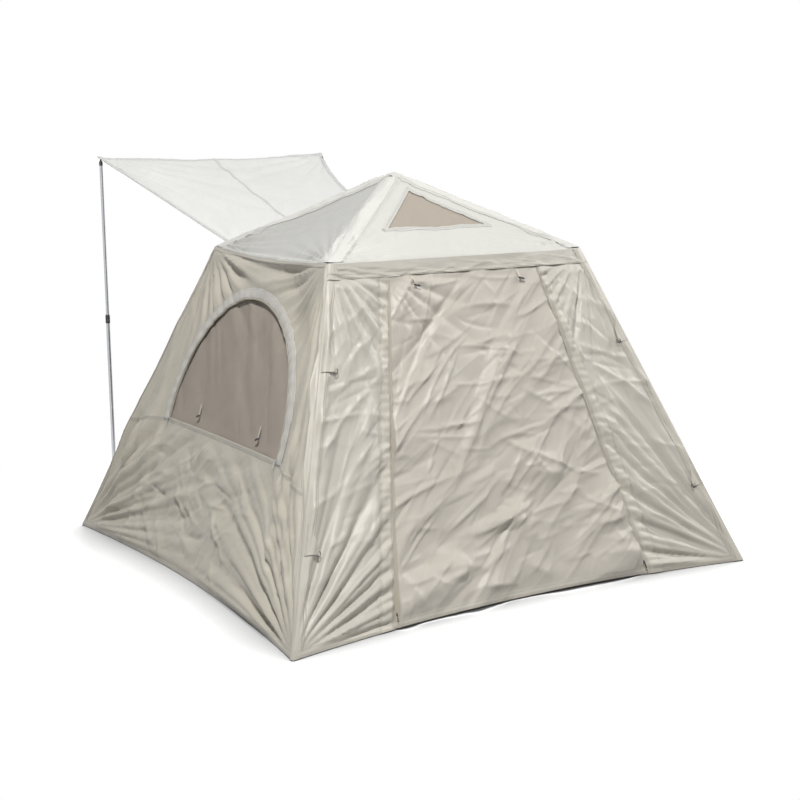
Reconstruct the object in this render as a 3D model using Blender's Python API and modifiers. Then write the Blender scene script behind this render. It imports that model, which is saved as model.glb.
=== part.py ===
# Hub-frame camping tent: a square cabin tent whose folding frame stands inside the cloth.
# Metres, +Z up, the front door faces -Y, and the origin is the middle of the groundsheet's underside.
import math

import bmesh
import bpy
from mathutils import Matrix, Quaternion, Vector

# Overall sizes of the pitched tent
BASE_WIDTH = 2.200
BASE_DEPTH = 2.140
EAVE_WIDTH = 1.240
EAVE_DEPTH = 1.030
EAVE_HEIGHT = 1.336
PEAK_HEIGHT = 1.660
FRONT_HEM_PULL = 0.115
SIDE_HEM_PULL = 0.075
SIDE_EAVE_SAG = 0.018

# Cloth, its seams and folds, and the small gap between touching pieces
CLOTH = 0.0015
FLOOR_CLOTH = 0.0020
GAP = 0.0003
SEAM_INSET = 0.0024
EAVE_GAP = 0.0020
LAYER_RISE = 0.0008
FOLD_HEIGHT = 0.010
FOLD_EDGE_SHARE = 0.875
OVERCUT = 0.100

# Doorways in the front and back walls, and the panel that closes the front one
DOORWAY_SHARE = 0.57
FLAP_SHARES = (0.576, 0.640)
VALANCE_DROP = 0.062
DOOR_TOP_GAP = 0.0008
DOOR_SIDE_GAP = 0.0006
DOOR_HEM_LIFT = 0.010
DOOR_BULGE = 0.012

# Awning, which is the back door panel raised on two telescoping poles
AWNING_LENGTH = 1.365
AWNING_TILT = math.radians(18.8)
AWNING_TOP_HALF = 0.430
AWNING_HEM_HALF = 0.660
AWNING_HEM_SAG = 0.030
POLE_INSET = 0.015
POLE_SHIFT = 0.026
POLE_OUTER = 0.008
POLE_WALL = 0.0012
POLE_SLIP = 0.0004
POLE_JOIN = 0.100
POLE_HEAD_RADIUS = 0.0095
POLE_HEAD_LENGTH = 0.024
POLE_FOOT_RADIUS = 0.012
POLE_FOOT_HEIGHT = 0.018

# Side windows, arched over a straight seam, and the triangular netting in the front roof
WINDOW_SILL = 0.582
WINDOW_HALF_WIDTH = 0.520
WINDOW_RISE = 0.585
WINDOW_BAND = 0.038
NETTING_LAP = 0.014
COVER_LAP = 0.022
COVER_SILL_GAP = 0.006
SKYLIGHT_HALF_WIDTH = 0.245
SKYLIGHT_TOP = 0.118
SKYLIGHT_BASE = 0.340

# Roof strips over the hips, and the cap over the peak
HIP_STRIP_WIDTH = 0.055
HIP_STRIP_CLOTH = 0.0010
HIP_STRIP_START_SHARE = 0.035
PEAK_OPENING = 0.030
EAVE_BEND_SHARE = 0.006
PEAK_CAP_RADIUS = 0.034
PEAK_CAP_TOP_RADIUS = 0.013
PEAK_CAP_RISE = 0.007
PEAK_CAP_FALL_SHARE = 1.06

# Frame tubes
ARM_OUTER = 0.0095
ARM_WALL = 0.0012
ARM_BELOW_HIP = 0.0215
ARM_END_RADIUS = 0.745
UPPER_OUTER = 0.0125
LOWER_OUTER = 0.0105
LEG_WALL = 0.0013
UPPER_LENGTH = 0.740
LEG_JOIN = 0.065
LEG_HEAD_REACH = 0.025
LEG_PIVOT_DROP = 0.030
FOOT_INSET_X = 0.050
FOOT_INSET_Y = 0.056
FOOT_RADIUS = 0.022
FOOT_SOCKET = 0.018
FOOT_SOCKET_WALL = 0.004
TUBE_SIDES = 12
PIN_SIDES = 8

# How far a roof arm turns up as the frame folds, which sets the axis of the leg's hinge
ARM_TURN = math.radians(102.0)

# Hub, elbow and lock fittings
HUB_PIVOT_RADIUS = 0.055
HUB_CORE_RADIUS = 0.030
HUB_HEIGHT = 0.034
HUB_STEM_RADIUS = 0.012
HUB_STEM_TOP_RADIUS = 0.003
EYE_RADIUS = 0.0105
EYE_THICKNESS = 0.0120
EYE_REACH = 0.020
EYE_PLUG = 0.014
EAR_THICKNESS = 0.0040
EAR_WIDTH = 0.0180
PIN_RADIUS = 0.0030
PIN_HEAD = 0.0016
ELBOW_RADIUS = 0.0140
ELBOW_LENGTH = 0.052
ELBOW_END_WALL = 0.006
COLLAR_RADIUS = 0.0170
COLLAR_LENGTH = 0.056
COLLAR_LIP = 0.002
BUTTON_RADIUS = 0.0040
BUTTON_LENGTH = 0.0055
BUTTON_PROUD = 0.0045

# Guy tabs on the walls, tie straps on the doors, and the zip sliders
TAB_WIDTH = 0.062
TAB_HEIGHT = 0.110
TAB_FOOT_HEIGHTS = (0.330, 0.945)
TIE_WIDTH = 0.011
TIE_LENGTH = 0.046
TIE_CLOTH = 0.0015
TIE_PLACE = 0.260
TIE_DROP = 0.004
TOGGLE_RADIUS = 0.0040
TOGGLE_LENGTH = 0.030
TOGGLE_STAND_OFF = 0.010
SLIDER_WIDTH = 0.010
SLIDER_LENGTH = 0.022
SLIDER_HEIGHT = 0.006
SLIDER_PULL = 0.034
SLIDER_PULL_WIDTH = 0.006
SLIDER_INSET = 0.009
SLIDER_END = 0.045
SLIDER_LIFT = 0.0012

UP = Vector((0.0, 0.0, 1.0))
ACROSS = Vector((1.0, 0.0, 0.0))
SIDES = {
    "front": (Vector((1.0, 0.0, 0.0)), Vector((0.0, -1.0, 0.0))),
    "right": (Vector((0.0, 1.0, 0.0)), Vector((1.0, 0.0, 0.0))),
    "back": (Vector((-1.0, 0.0, 0.0)), Vector((0.0, 1.0, 0.0))),
    "left": (Vector((0.0, -1.0, 0.0)), Vector((-1.0, 0.0, 0.0))),
}
CORNERS = {
    "front_left": (-1.0, -1.0),
    "front_right": (1.0, -1.0),
    "back_left": (-1.0, 1.0),
    "back_right": (1.0, 1.0),
}
HANDS = {"left": -1.0, "right": 1.0}
HEM_HEIGHT = FLOOR_CLOTH + CLOTH / 2.0 + GAP
SEAM_SHARE = 1.0 - VALANCE_DROP / EAVE_HEIGHT

finishes = {}


def finish(name, colour, roughness, metallic=0.0, alpha=1.0):
    """One Principled material for each finish, made once."""
    if name not in finishes:
        material = bpy.data.materials.new(name)
        material.use_nodes = True
        shader = material.node_tree.nodes["Principled BSDF"]
        shader.inputs["Base Color"].default_value = (*colour, 1.0)
        shader.inputs["Roughness"].default_value = roughness
        shader.inputs["Metallic"].default_value = metallic
        shader.inputs["Alpha"].default_value = alpha
        finishes[name] = material
    return finishes[name]


def wall_cloth():
    return finish("wall_cloth", (0.52, 0.47, 0.39), 0.55)


def roof_cloth():
    return finish("roof_cloth", (0.74, 0.72, 0.66), 0.50)


def floor_cloth():
    return finish("floor_cloth", (0.30, 0.28, 0.24), 0.70)


def netting():
    return finish("netting", (0.33, 0.29, 0.25), 0.80, 0.0, 0.6)


def webbing():
    return finish("webbing", (0.50, 0.46, 0.40), 0.75)


def tube_metal():
    return finish("tube_metal", (0.55, 0.56, 0.58), 0.35, 1.0)


def dark_plastic():
    return finish("dark_plastic", (0.045, 0.045, 0.048), 0.55)


def zip_metal():
    return finish("zip_metal", (0.60, 0.60, 0.62), 0.30, 1.0)


def lerp(start, end, share):
    return start + (end - start) * share


def empty_scene():
    """Removes what the file holds, and makes one collection for the tent and one for its cutters."""
    for found in list(bpy.data.objects):
        bpy.data.objects.remove(found, do_unlink=True)
    for name in ("camping_tent", "cutters"):
        old = bpy.data.collections.get(name)
        if old:
            bpy.data.collections.remove(old)
        bpy.context.scene.collection.children.link(bpy.data.collections.new(name))


def add_object(name, mesh, material=None, place=None):
    """Links a mesh as an object; without a material it is a hidden cutter."""
    made = bpy.data.objects.new(name, mesh)
    bpy.data.collections["camping_tent" if material else "cutters"].objects.link(made)
    if place is not None:
        made.matrix_world = place
    if material:
        mesh.materials.append(material)
    else:
        made.hide_render = True
        made.display_type = "WIRE"
    return made


def combine(target, tools, operation):
    """Adds, cuts away or keeps what the tools cover, with one Boolean for each."""
    for tool in tools:
        change = target.modifiers.new(tool.name, "BOOLEAN")
        change.operation = operation
        change.solver = "EXACT"
        change.object = tool
    return target


def origin_at(made, point):
    """Moves an object's origin onto its joint without moving its shape."""
    old = made.matrix_world.copy()
    new = old.copy()
    new.translation = point
    made.data.transform(new.inverted() @ old)
    made.matrix_world = new
    return made


def mesh_from(build):
    """A mesh that a bmesh function fills."""
    shape = bmesh.new()
    build(shape)
    mesh = bpy.data.meshes.new("shape")
    shape.to_mesh(mesh)
    shape.free()
    return mesh


def cylinder_mesh(radius, length, sides=TUBE_SIDES, end_radius=None):
    """A cylinder or a cone along Z, from the origin upwards."""
    top = radius if end_radius is None else end_radius

    def build(shape):
        bmesh.ops.create_cone(
            shape, cap_ends=True, segments=sides, radius1=radius, radius2=top, depth=length,
            matrix=Matrix.Translation((0.0, 0.0, length / 2.0)),
        )

    return mesh_from(build)


def box_mesh(width, depth, height):
    """A box centred on the origin."""

    def build(shape):
        bmesh.ops.create_cube(shape, size=1.0, matrix=Matrix.Diagonal((width, depth, height, 1.0)))

    return mesh_from(build)


def prism_mesh(outlines, push):
    """Flat outlines, each pushed out both ways into a closed prism, in one mesh."""

    def build(shape):
        for corners in outlines:
            low = [shape.verts.new(corner - push) for corner in corners]
            raised = bmesh.ops.extrude_face_region(shape, geom=[shape.faces.new(low)])
            moved = [item for item in raised["geom"] if isinstance(item, bmesh.types.BMVert)]
            bmesh.ops.translate(shape, verts=moved, vec=2.0 * push)
        bmesh.ops.recalc_face_normals(shape, faces=shape.faces)

    return mesh_from(build)


def aim(start, towards):
    """The matrix that turns Z towards a direction, at a start point."""
    turn = Vector(towards).to_track_quat("Z", "Y").to_matrix().to_4x4()
    return Matrix.Translation(start) @ turn


def axes_frame(origin, across, along):
    """A matrix with X on one direction, and Z as near as it can be to another."""
    side = Vector(across).normalized()
    ahead = (Vector(along) - side * Vector(along).dot(side)).normalized()
    turn = Matrix((side, ahead.cross(side), ahead)).transposed().to_4x4()
    return Matrix.Translation(origin) @ turn


def pipe(name, start, end, outer, wall, material):
    """A round tube, open at both ends, between two points."""
    length = (end - start).length

    def build(shape):
        profile = [(outer, length), (outer, 0.0), (outer - wall, 0.0), (outer - wall, length)]
        points = [shape.verts.new((radius, 0.0, height)) for radius, height in profile]
        for first, second in zip(points, points[1:] + points[:1]):
            shape.edges.new((first, second))

    tube = add_object(name, mesh_from(build), material, aim(start, end - start))
    turned = tube.modifiers.new("Turn", "SCREW")
    turned.angle = math.tau
    turned.steps = TUBE_SIDES
    turned.render_steps = TUBE_SIDES
    turned.use_merge_vertices = True
    turned.merge_threshold = GAP / 10.0
    return tube


def half_sizes(side, share):
    """Half of a wall's width, and its distance from the middle, at a share of the eave height."""
    wide = lerp(BASE_WIDTH, EAVE_WIDTH, share) / 2.0
    deep = lerp(BASE_DEPTH, EAVE_DEPTH, share) / 2.0
    return (wide, deep) if side in ("front", "back") else (deep - SEAM_INSET, wide)


def wall_normal(side):
    lean = half_sizes(side, 0.0)[1] - half_sizes(side, 1.0)[1]
    return (SIDES[side][1] * EAVE_HEIGHT + UP * lean).normalized()


def wall_point(side, across, share, lift=0.0):
    """A point on a wall's outer face: across runs from -1 to 1, and share from the hem to the eave."""
    along, out = SIDES[side]
    half, away = half_sizes(side, share)
    ends = side in ("front", "back")
    bow = 1.0 - across * across
    pull = (FRONT_HEM_PULL if ends else SIDE_HEM_PULL) * bow * (1.0 - share)
    top = EAVE_HEIGHT - (0.0 if ends else SIDE_EAVE_SAG * bow)
    height = lerp(HEM_HEIGHT, top, share)
    return along * (across * half) + out * (away - pull) + UP * height + wall_normal(side) * lift


def share_at(height):
    """The height share of a wall at a height above the ground."""
    return (height - HEM_HEIGHT) / (EAVE_HEIGHT - HEM_HEIGHT)


def cloth(name, columns, rows, place, material, thickness=CLOTH):
    """A sheet laid over a place function of across (-1 to 1) and up (0 to 1), thickened inwards."""

    def build(shape):
        bmesh.ops.create_grid(shape, x_segments=columns, y_segments=rows, size=1.0)
        for point in shape.verts:
            point.co = place(point.co.x, (point.co.y + 1.0) / 2.0)

    sheet = add_object(name, mesh_from(build), material)
    solid = sheet.modifiers.new("Thickness", "SOLIDIFY")
    solid.thickness = thickness
    solid.offset = -1.0
    solid.use_even_offset = True
    return sheet


def fade(across, up):
    """Zero on all four edges of a panel, so that its folds never move a seam."""
    return max(0.0, 1.0 - (across / FOLD_EDGE_SHARE) ** 4) * (4.0 * up * (1.0 - up)) ** 0.5


def corner_folds(across, up):
    """Tension folds that fan out of a wall panel's two lower corners."""
    total = 0.0
    for corner in (-1.0, 1.0):
        angle = math.atan2(up, abs(across - corner) + 0.1)
        reach = math.exp(-1.2 * math.hypot(across - corner, up))
        total += reach * math.sin(11.0 * angle)
    return FOLD_HEIGHT * fade(across, up) * total


def slack_folds(across, up):
    """Slanting folds of the slack door panel, fuller towards its hem."""
    slant = math.sin(9.0 * (up + 0.45 * across)) + 0.6 * math.sin(15.0 * (up + 0.3 * across) + 1.3)
    return fade(across, up) * (FOLD_HEIGHT * 0.5 * slant + DOOR_BULGE * (1.0 - up))


def cover_folds(across, up):
    """Soft folds of a window cover, all on its inner side."""
    return -FOLD_HEIGHT * 0.5 * fade(across, up) * (1.0 + math.sin(8.0 * (across + up)))


def wall_panel(name, side, low, high, bottom, top, columns, rows, folds, material, lift=0.0):
    """The part of a wall between two across shares and two height shares."""

    def place(across, up):
        extra = folds(across, up) if folds else 0.0
        middle = lerp(low, high, (across + 1.0) / 2.0)
        return wall_point(side, middle, lerp(bottom, top, up), lift + extra)

    return cloth(name, columns, rows, place, material)


def make_groundsheet():
    """The floor, whose edge follows the drawn-in hems of the four walls."""

    def place(across, up):
        deep = 2.0 * up - 1.0
        wide_edge = BASE_WIDTH / 2.0 - SIDE_HEM_PULL * (1.0 - deep * deep)
        deep_edge = BASE_DEPTH / 2.0 - FRONT_HEM_PULL * (1.0 - across * across)
        return Vector((across * wide_edge, deep * deep_edge, FLOOR_CLOTH))

    return cloth("groundsheet", 10, 10, place, floor_cloth(), FLOOR_CLOTH)


def flap_outline(side, hand):
    """The four corners of the storm flap beside a doorway."""
    inner, outer = FLAP_SHARES
    low, high = SEAM_INSET / EAVE_HEIGHT, SEAM_SHARE - SEAM_INSET / EAVE_HEIGHT
    shares = [(inner, low), (outer, low), (outer, high), (inner, high)]
    return [wall_point(side, hand * across, share) for across, share in shares]


def tab_outline(side, hand, height):
    """The three corners of a guy tab sewn along a leg seam."""
    seam = wall_point(side, hand, share_at(height))
    rise = (wall_point(side, hand, share_at(height + TAB_HEIGHT)) - seam).normalized()
    inward = SIDES[side][0] * -hand
    foot = seam + inward * (2.0 * SEAM_INSET)
    return [foot, foot + inward * TAB_WIDTH, foot + rise * TAB_HEIGHT]


def make_end_walls():
    """The wall panels beside each doorway, with their storm flap and guy tabs as a second layer."""
    top = SEAM_SHARE - GAP / EAVE_HEIGHT
    for side in ("front", "back"):
        for hand in HANDS.values():
            low, high = sorted((hand * DOORWAY_SHARE, hand))
            word = "left" if hand * SIDES[side][0].x < 0.0 else "right"
            shape = (side, low, high, 0.0, top, 6, 10, corner_folds)
            wall = wall_panel(f"{side}_wall_{word}", *shape, wall_cloth())
            layer = wall_panel(f"{side}_{word}_layer", *shape, None, LAYER_RISE)
            outlines = [tab_outline(side, hand, height) for height in TAB_FOOT_HEIGHTS]
            outlines.append(flap_outline(side, hand))
            trim = add_object(f"{side}_{word}_trim", prism_mesh(outlines, wall_normal(side) * OVERCUT))
            combine(layer, [trim], "INTERSECT")
            combine(wall, [layer], "UNION")


def window_bar(name, side, lap):
    """An elliptical bar through a side wall, centred on the window's sill."""
    out = SIDES[side][1]
    bar = cylinder_mesh(1.0, BASE_WIDTH / 2.0 - EAVE_WIDTH / 2.0 + OVERCUT, 40)
    bar.transform(Matrix.Diagonal((WINDOW_HALF_WIDTH + lap, WINDOW_RISE + lap, 1.0, 1.0)))
    start = out * (EAVE_WIDTH / 2.0 - OVERCUT) + UP * WINDOW_SILL
    return add_object(name, bar, None, axes_frame(start, SIDES[side][0], out))


def window_layer(name, side, lap, lift, material, folds=None, sill_gap=0.0):
    """A sheet beside the upper wall panel, trimmed to an arch that laps the window."""
    shape = (side, -1.0, 1.0, share_at(WINDOW_SILL + sill_gap), 1.0 - EAVE_GAP / EAVE_HEIGHT, 12, 8)
    sheet = wall_panel(name, *shape, folds, material, lift)
    return combine(sheet, [window_bar(f"{name}_trim", side, lap)], "INTERSECT")


def make_side_walls():
    """Each side wall is a lower panel and an upper panel, which holds the arched window and its band."""
    seam = share_at(WINDOW_SILL)
    for side in ("left", "right"):
        seam_gap = GAP / EAVE_HEIGHT
        wall_panel(f"{side}_wall_lower", side, -1.0, 1.0, 0.0, seam - seam_gap, 16, 7, corner_folds, wall_cloth())
        shape = (side, -1.0, 1.0, seam, 1.0 - EAVE_GAP / EAVE_HEIGHT, 12, 8, None)
        upper = wall_panel(f"{side}_wall_upper", *shape, wall_cloth())
        band = window_layer(f"{side}_window_band", side, WINDOW_BAND, LAYER_RISE, None)
        combine(upper, [band], "UNION")
        combine(upper, [window_bar(f"{side}_window_hole", side, 0.0)], "DIFFERENCE")


def make_windows():
    """The netting sewn behind each window, and the cover inside it, which hinges on the sill."""
    for side in ("left", "right"):
        window_layer(f"window_mesh_{side}", side, NETTING_LAP, -(CLOTH + GAP), netting())
        shape = (side, COVER_LAP, -2.0 * (CLOTH + GAP), wall_cloth(), cover_folds, COVER_SILL_GAP)
        cover = window_layer(f"window_cover_{side}", *shape)
        origin_at(cover, cover_hinge(side))


def cover_hinge(side):
    """The middle of a window cover's hinge line, on the sill behind the netting."""
    return wall_point(side, 0.0, share_at(WINDOW_SILL), -2.0 * (CLOTH + GAP) - CLOTH / 2.0)


def roof_point(side, across, up, lift=0.0):
    """A point on a roof face's outer side, from its eave to the opening at the peak."""
    along, out = SIDES[side]
    ends = side in ("front", "back")
    half, away = (EAVE_WIDTH / 2.0, EAVE_DEPTH / 2.0) if ends else (EAVE_DEPTH / 2.0, EAVE_WIDTH / 2.0)
    share = up * (1.0 - PEAK_OPENING / (EAVE_WIDTH / 2.0))
    sag = 0.0 if ends else SIDE_EAVE_SAG * (1.0 - across * across) * (1.0 - up)
    height = lerp(EAVE_HEIGHT, PEAK_HEIGHT, share) - sag
    normal = (out * (PEAK_HEIGHT - EAVE_HEIGHT) + UP * away).normalized()
    width = half * (1.0 - share) - (0.0 if ends else SEAM_INSET)
    return along * (across * width) + out * (away * (1.0 - share)) + UP * height + normal * lift


def make_roof():
    """Four roof faces; the front and back ones turn down over the eave into a valance."""
    valance_rows = 3
    roof_rows = 5
    for side in ("front", "back"):

        def place(across, up, side=side):
            row = round(up * (valance_rows + roof_rows - 1))
            if row < valance_rows:
                top = 1.0 - EAVE_BEND_SHARE / 4.0
                return wall_point(side, across, lerp(SEAM_SHARE, top, row / (valance_rows - 1)))
            return roof_point(side, across, lerp(EAVE_BEND_SHARE, 1.0, (row - valance_rows) / (roof_rows - 1)))

        face = cloth(f"roof_{side}", 8, valance_rows + roof_rows - 1, place, roof_cloth())
        if side == "front":
            combine(face, [skylight_bar("skylight_hole", 0.0)], "DIFFERENCE")
    for side in ("left", "right"):

        def flank(across, up, side=side):
            return roof_point(side, across, up)

        cloth(f"roof_{side}", 8, 4, flank, roof_cloth())


def skylight_bar(name, lap):
    """An upright three-sided bar over the netting triangle of the front roof."""
    depth = SKYLIGHT_BASE - SKYLIGHT_TOP + 3.0 * lap
    half = SKYLIGHT_HALF_WIDTH + 2.0 * lap
    bar = cylinder_mesh(1.0, PEAK_HEIGHT - EAVE_HEIGHT + 2.0 * OVERCUT, 3)
    bar.transform(Matrix.Diagonal((half / math.sin(math.radians(60.0)), depth / 1.5, 1.0, 1.0)))
    middle = Vector((0.0, 2.0 * lap - SKYLIGHT_TOP - depth / 1.5, EAVE_HEIGHT - OVERCUT))
    return add_object(name, bar, None, Matrix.Translation(middle))


def make_skylight_mesh():
    """Netting sewn under the front roof face, lapping the triangle on all sides."""

    def place(across, up):
        return roof_point("front", across, lerp(EAVE_BEND_SHARE, 1.0, up), -(CLOTH + GAP))

    net = cloth("skylight_mesh", 8, 4, place, netting())
    combine(net, [skylight_bar("skylight_trim", NETTING_LAP)], "INTERSECT")


def make_hip_strips():
    """A folded strip of cloth over each hip; the four meet at the peak as one cross."""
    lift = HIP_STRIP_CLOTH + GAP
    rise = PEAK_HEIGHT - EAVE_HEIGHT
    half = Vector((EAVE_WIDTH / 2.0, EAVE_DEPTH / 2.0, 0.0))
    end_normal = Vector((0.0, rise, half.y)).normalized()
    flank_normal = Vector((rise, 0.0, half.x)).normalized()
    ridge = (end_normal + flank_normal).normalized()
    ridge *= lift / ridge.dot(end_normal)
    hip = Vector((half.x, half.y, -rise)).normalized()
    over_end = end_normal.cross(hip)
    over_end *= -HIP_STRIP_WIDTH if over_end.x > 0.0 else HIP_STRIP_WIDTH
    over_flank = flank_normal.cross(hip)
    over_flank *= -HIP_STRIP_WIDTH if over_flank.y > 0.0 else HIP_STRIP_WIDTH
    peak = Vector((0.0, 0.0, PEAK_HEIGHT))
    eave = Vector((half.x, half.y, EAVE_HEIGHT))
    start = eave.lerp(peak, HIP_STRIP_START_SHARE)
    end_stop = eave.lerp(peak, 1.0 + over_end.x / half.x) + over_end + end_normal * lift
    flank_stop = eave.lerp(peak, 1.0 + over_flank.y / half.y) + over_flank + flank_normal * lift
    end_stop.x = 0.0
    flank_stop.y = 0.0
    top = peak + UP * (lift / end_normal.z)
    quarter = [
        (start + over_end + end_normal * lift, start + ridge, top, end_stop),
        (start + ridge, start + over_flank + flank_normal * lift, flank_stop, top),
    ]

    def build(shape):
        for hand_x, hand_y in CORNERS.values():
            for corners in quarter:
                shape.faces.new([shape.verts.new((p.x * hand_x, p.y * hand_y, p.z)) for p in corners])
        bmesh.ops.remove_doubles(shape, verts=shape.verts, dist=GAP)
        bmesh.ops.recalc_face_normals(shape, faces=shape.faces)
        if sum(face.normal.z for face in shape.faces) < 0.0:
            bmesh.ops.reverse_faces(shape, faces=shape.faces)

    strips = add_object("roof_hip_strips", mesh_from(build), roof_cloth())
    solid = strips.modifiers.new("Thickness", "SOLIDIFY")
    solid.thickness = HIP_STRIP_CLOTH
    solid.offset = -1.0
    solid.use_even_offset = True


def make_peak_cap():
    """The round cap that sits on the strips at the peak."""
    lift = (HIP_STRIP_CLOTH + 2.0 * GAP) * 1.25
    pyramid = cylinder_mesh(1.0, PEAK_HEIGHT - EAVE_HEIGHT, 4, 0.0)
    pyramid.transform(Matrix.Rotation(math.radians(45.0), 4, "Z"))
    pyramid.transform(Matrix.Diagonal((EAVE_WIDTH / math.sqrt(2.0), EAVE_DEPTH / math.sqrt(2.0), 1.0, 1.0)))
    seat = add_object("cap_seat", pyramid, None, Matrix.Translation(UP * (EAVE_HEIGHT + lift)))
    fall = PEAK_CAP_RADIUS * hip_slope() * PEAK_CAP_FALL_SHARE
    dome = cylinder_mesh(PEAK_CAP_RADIUS, fall + PEAK_CAP_RISE, 20, PEAK_CAP_TOP_RADIUS)
    cap = add_object("hub_cap", dome, roof_cloth(), Matrix.Translation(UP * (PEAK_HEIGHT - fall)))
    combine(cap, [seat], "DIFFERENCE")


def door_place(across, up, lift=0.0):
    """A point on the closed front door panel."""
    share = lerp(share_at(HEM_HEIGHT + DOOR_HEM_LIFT), SEAM_SHARE - DOOR_TOP_GAP / EAVE_HEIGHT, up)
    width = DOORWAY_SHARE - DOOR_SIDE_GAP / half_sizes("front", share)[0]
    return wall_point("front", across * width, share, lift)


def door_hinge():
    """The middle of the front door's hinge line, level with the ends of its top edge."""
    end = door_place(1.0, 1.0)
    return Vector((0.0, end.y, end.z))


def make_front_door():
    def place(across, up):
        return door_place(across, up, slack_folds(across, up))

    door = cloth("front_door_panel", 16, 12, place, wall_cloth())
    origin_at(door, door_hinge())


def awning_hinge():
    """The middle of the awning's hinge line, just outside the back wall's seam."""
    across = AWNING_TOP_HALF / half_sizes("back", SEAM_SHARE)[0]
    end = wall_point("back", across, SEAM_SHARE - CLOTH / EAVE_HEIGHT, LAYER_RISE + CLOTH + GAP)
    return Vector((0.0, end.y, end.z))


def awning_axes():
    """The way out along the raised awning, and its upper side's normal."""
    run = Vector((0.0, math.cos(AWNING_TILT), math.sin(AWNING_TILT)))
    return run, ACROSS.cross(run)


def awning_point(across, along, lift=0.0):
    """A point on the raised awning's upper side: along runs from the hinge line to the outer hem."""
    run, normal = awning_axes()
    half = lerp(AWNING_TOP_HALF, AWNING_HEM_HALF, along)
    sag = AWNING_HEM_SAG * (1.0 - across * across) * along
    return awning_hinge() + ACROSS * (across * half) + run * (along * AWNING_LENGTH) + normal * (lift - sag)


def make_awning():
    """The raised back door panel, with a hem roll on its hinge line and slack folds down its length."""

    def place(across, along):
        wave = math.sin(10.0 * along + 4.0 * across) * fade(across, along) ** 2
        return awning_point(across, along, FOLD_HEIGHT * 0.5 * wave)

    awning = cloth("back_door_awning", 16, 10, place, roof_cloth())
    start = awning_hinge() - ACROSS * AWNING_TOP_HALF
    roll = add_object("awning_roll", cylinder_mesh(CLOTH, 2.0 * AWNING_TOP_HALF, 8), None, aim(start, ACROSS))
    combine(awning, [roll], "UNION")
    origin_at(awning, awning_hinge())


def pole_top(hand):
    """The pivot at a pole's head, under the awning near its outer corner."""
    along = 1.0 - (POLE_INSET + (POLE_SHIFT if hand > 0.0 else 0.0)) / AWNING_LENGTH
    side = AWNING_HEM_HALF - POLE_INSET
    across = hand * side / lerp(AWNING_TOP_HALF, AWNING_HEM_HALF, along)
    slope_drop = POLE_HEAD_LENGTH / 2.0 * math.sin(AWNING_TILT)
    return awning_point(across, along, -(CLOTH + GAP + POLE_HEAD_RADIUS + slope_drop))


def make_awning_poles():
    """Two telescoping poles; each hangs on a cross head under a corner of the awning."""
    back = Vector((0.0, 1.0, 0.0))
    for word, hand in HANDS.items():
        top = pole_top(hand)
        upper_length = (top.z + POLE_JOIN) / 2.0
        upper = pipe(f"awning_pole_upper_{word}", top, top - UP * upper_length, POLE_OUTER, POLE_WALL, tube_metal())
        head = cylinder_mesh(POLE_HEAD_RADIUS, POLE_HEAD_LENGTH)
        head_place = aim(top - back * (POLE_HEAD_LENGTH / 2.0), back)
        combine(upper, [add_object(f"pole_head_{word}", head, None, head_place)], "UNION")
        inner = POLE_OUTER - POLE_WALL - POLE_SLIP
        ground = Vector((top.x, top.y, 0.0))
        lower_top = top - UP * (upper_length - POLE_JOIN)
        end = ground + UP * (POLE_FOOT_HEIGHT / 4.0)
        lower = pipe(f"awning_pole_lower_{word}", lower_top, end, inner, POLE_WALL, tube_metal())
        foot = cylinder_mesh(POLE_FOOT_RADIUS, POLE_FOOT_HEIGHT, TUBE_SIDES, POLE_FOOT_RADIUS * 0.8)
        combine(lower, [add_object(f"pole_foot_{word}", foot, None, Matrix.Translation(ground))], "UNION")


def hip_slope():
    return (PEAK_HEIGHT - EAVE_HEIGHT) / math.hypot(EAVE_WIDTH / 2.0, EAVE_DEPTH / 2.0)


def arm_height(radius):
    """The height of the arms' centre line at a distance from the middle."""
    return PEAK_HEIGHT - hip_slope() * radius - ARM_BELOW_HIP / math.cos(math.atan(hip_slope()))


def frame_corner(hand_x, hand_y):
    """Points and directions of one quarter of the frame, at rest."""
    level = Vector((hand_x * EAVE_WIDTH, hand_y * EAVE_DEPTH, 0.0)).normalized()
    slope = math.atan(hip_slope())
    run = level * math.cos(slope) - UP * math.sin(slope)
    rise = level * math.sin(slope) + UP * math.cos(slope)
    pivot = level * HUB_PIVOT_RADIUS + UP * arm_height(HUB_PIVOT_RADIUS)
    end = level * ARM_END_RADIUS + UP * arm_height(ARM_END_RADIUS)
    knee = end - rise * LEG_PIVOT_DROP
    foot_x = hand_x * (BASE_WIDTH / 2.0 - FOOT_INSET_X)
    foot_y = hand_y * (BASE_DEPTH / 2.0 - FOOT_INSET_Y)
    foot = Vector((foot_x, foot_y, FLOOR_CLOTH + GAP + FOOT_RADIUS))
    swing = level.cross(UP)
    leg = (foot - knee).normalized()
    folded = Quaternion(swing, -ARM_TURN) @ -UP
    bend = leg.cross(folded).normalized()
    inward = -(level - leg * level.dot(leg)).normalized()
    return {
        "run": run, "rise": rise, "pivot": pivot, "end": end, "knee": knee, "foot": foot, "level": level,
        "swing": swing, "leg": leg, "bend": bend, "inward": inward,
    }


def clevis(name, centre, axis, reach, length):
    """Two ears and a headed pin about an axis; the ears run back along reach."""
    tools = []
    offset = EYE_THICKNESS / 2.0 + GAP + EAR_THICKNESS / 2.0
    for word, hand in HANDS.items():
        ear = box_mesh(EAR_THICKNESS, EAR_WIDTH, length)
        middle = centre + axis * (hand * offset) + reach * ((length - EAR_WIDTH) / 2.0)
        tools.append(add_object(f"{name}_ear_{word}", ear, None, axes_frame(middle, axis, reach)))
    half = offset + EAR_THICKNESS / 2.0 + PIN_HEAD
    pin = cylinder_mesh(PIN_RADIUS, 2.0 * half, PIN_SIDES)
    tools.append(add_object(f"{name}_pin", pin, None, aim(centre - axis * half, axis)))
    return tools


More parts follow.
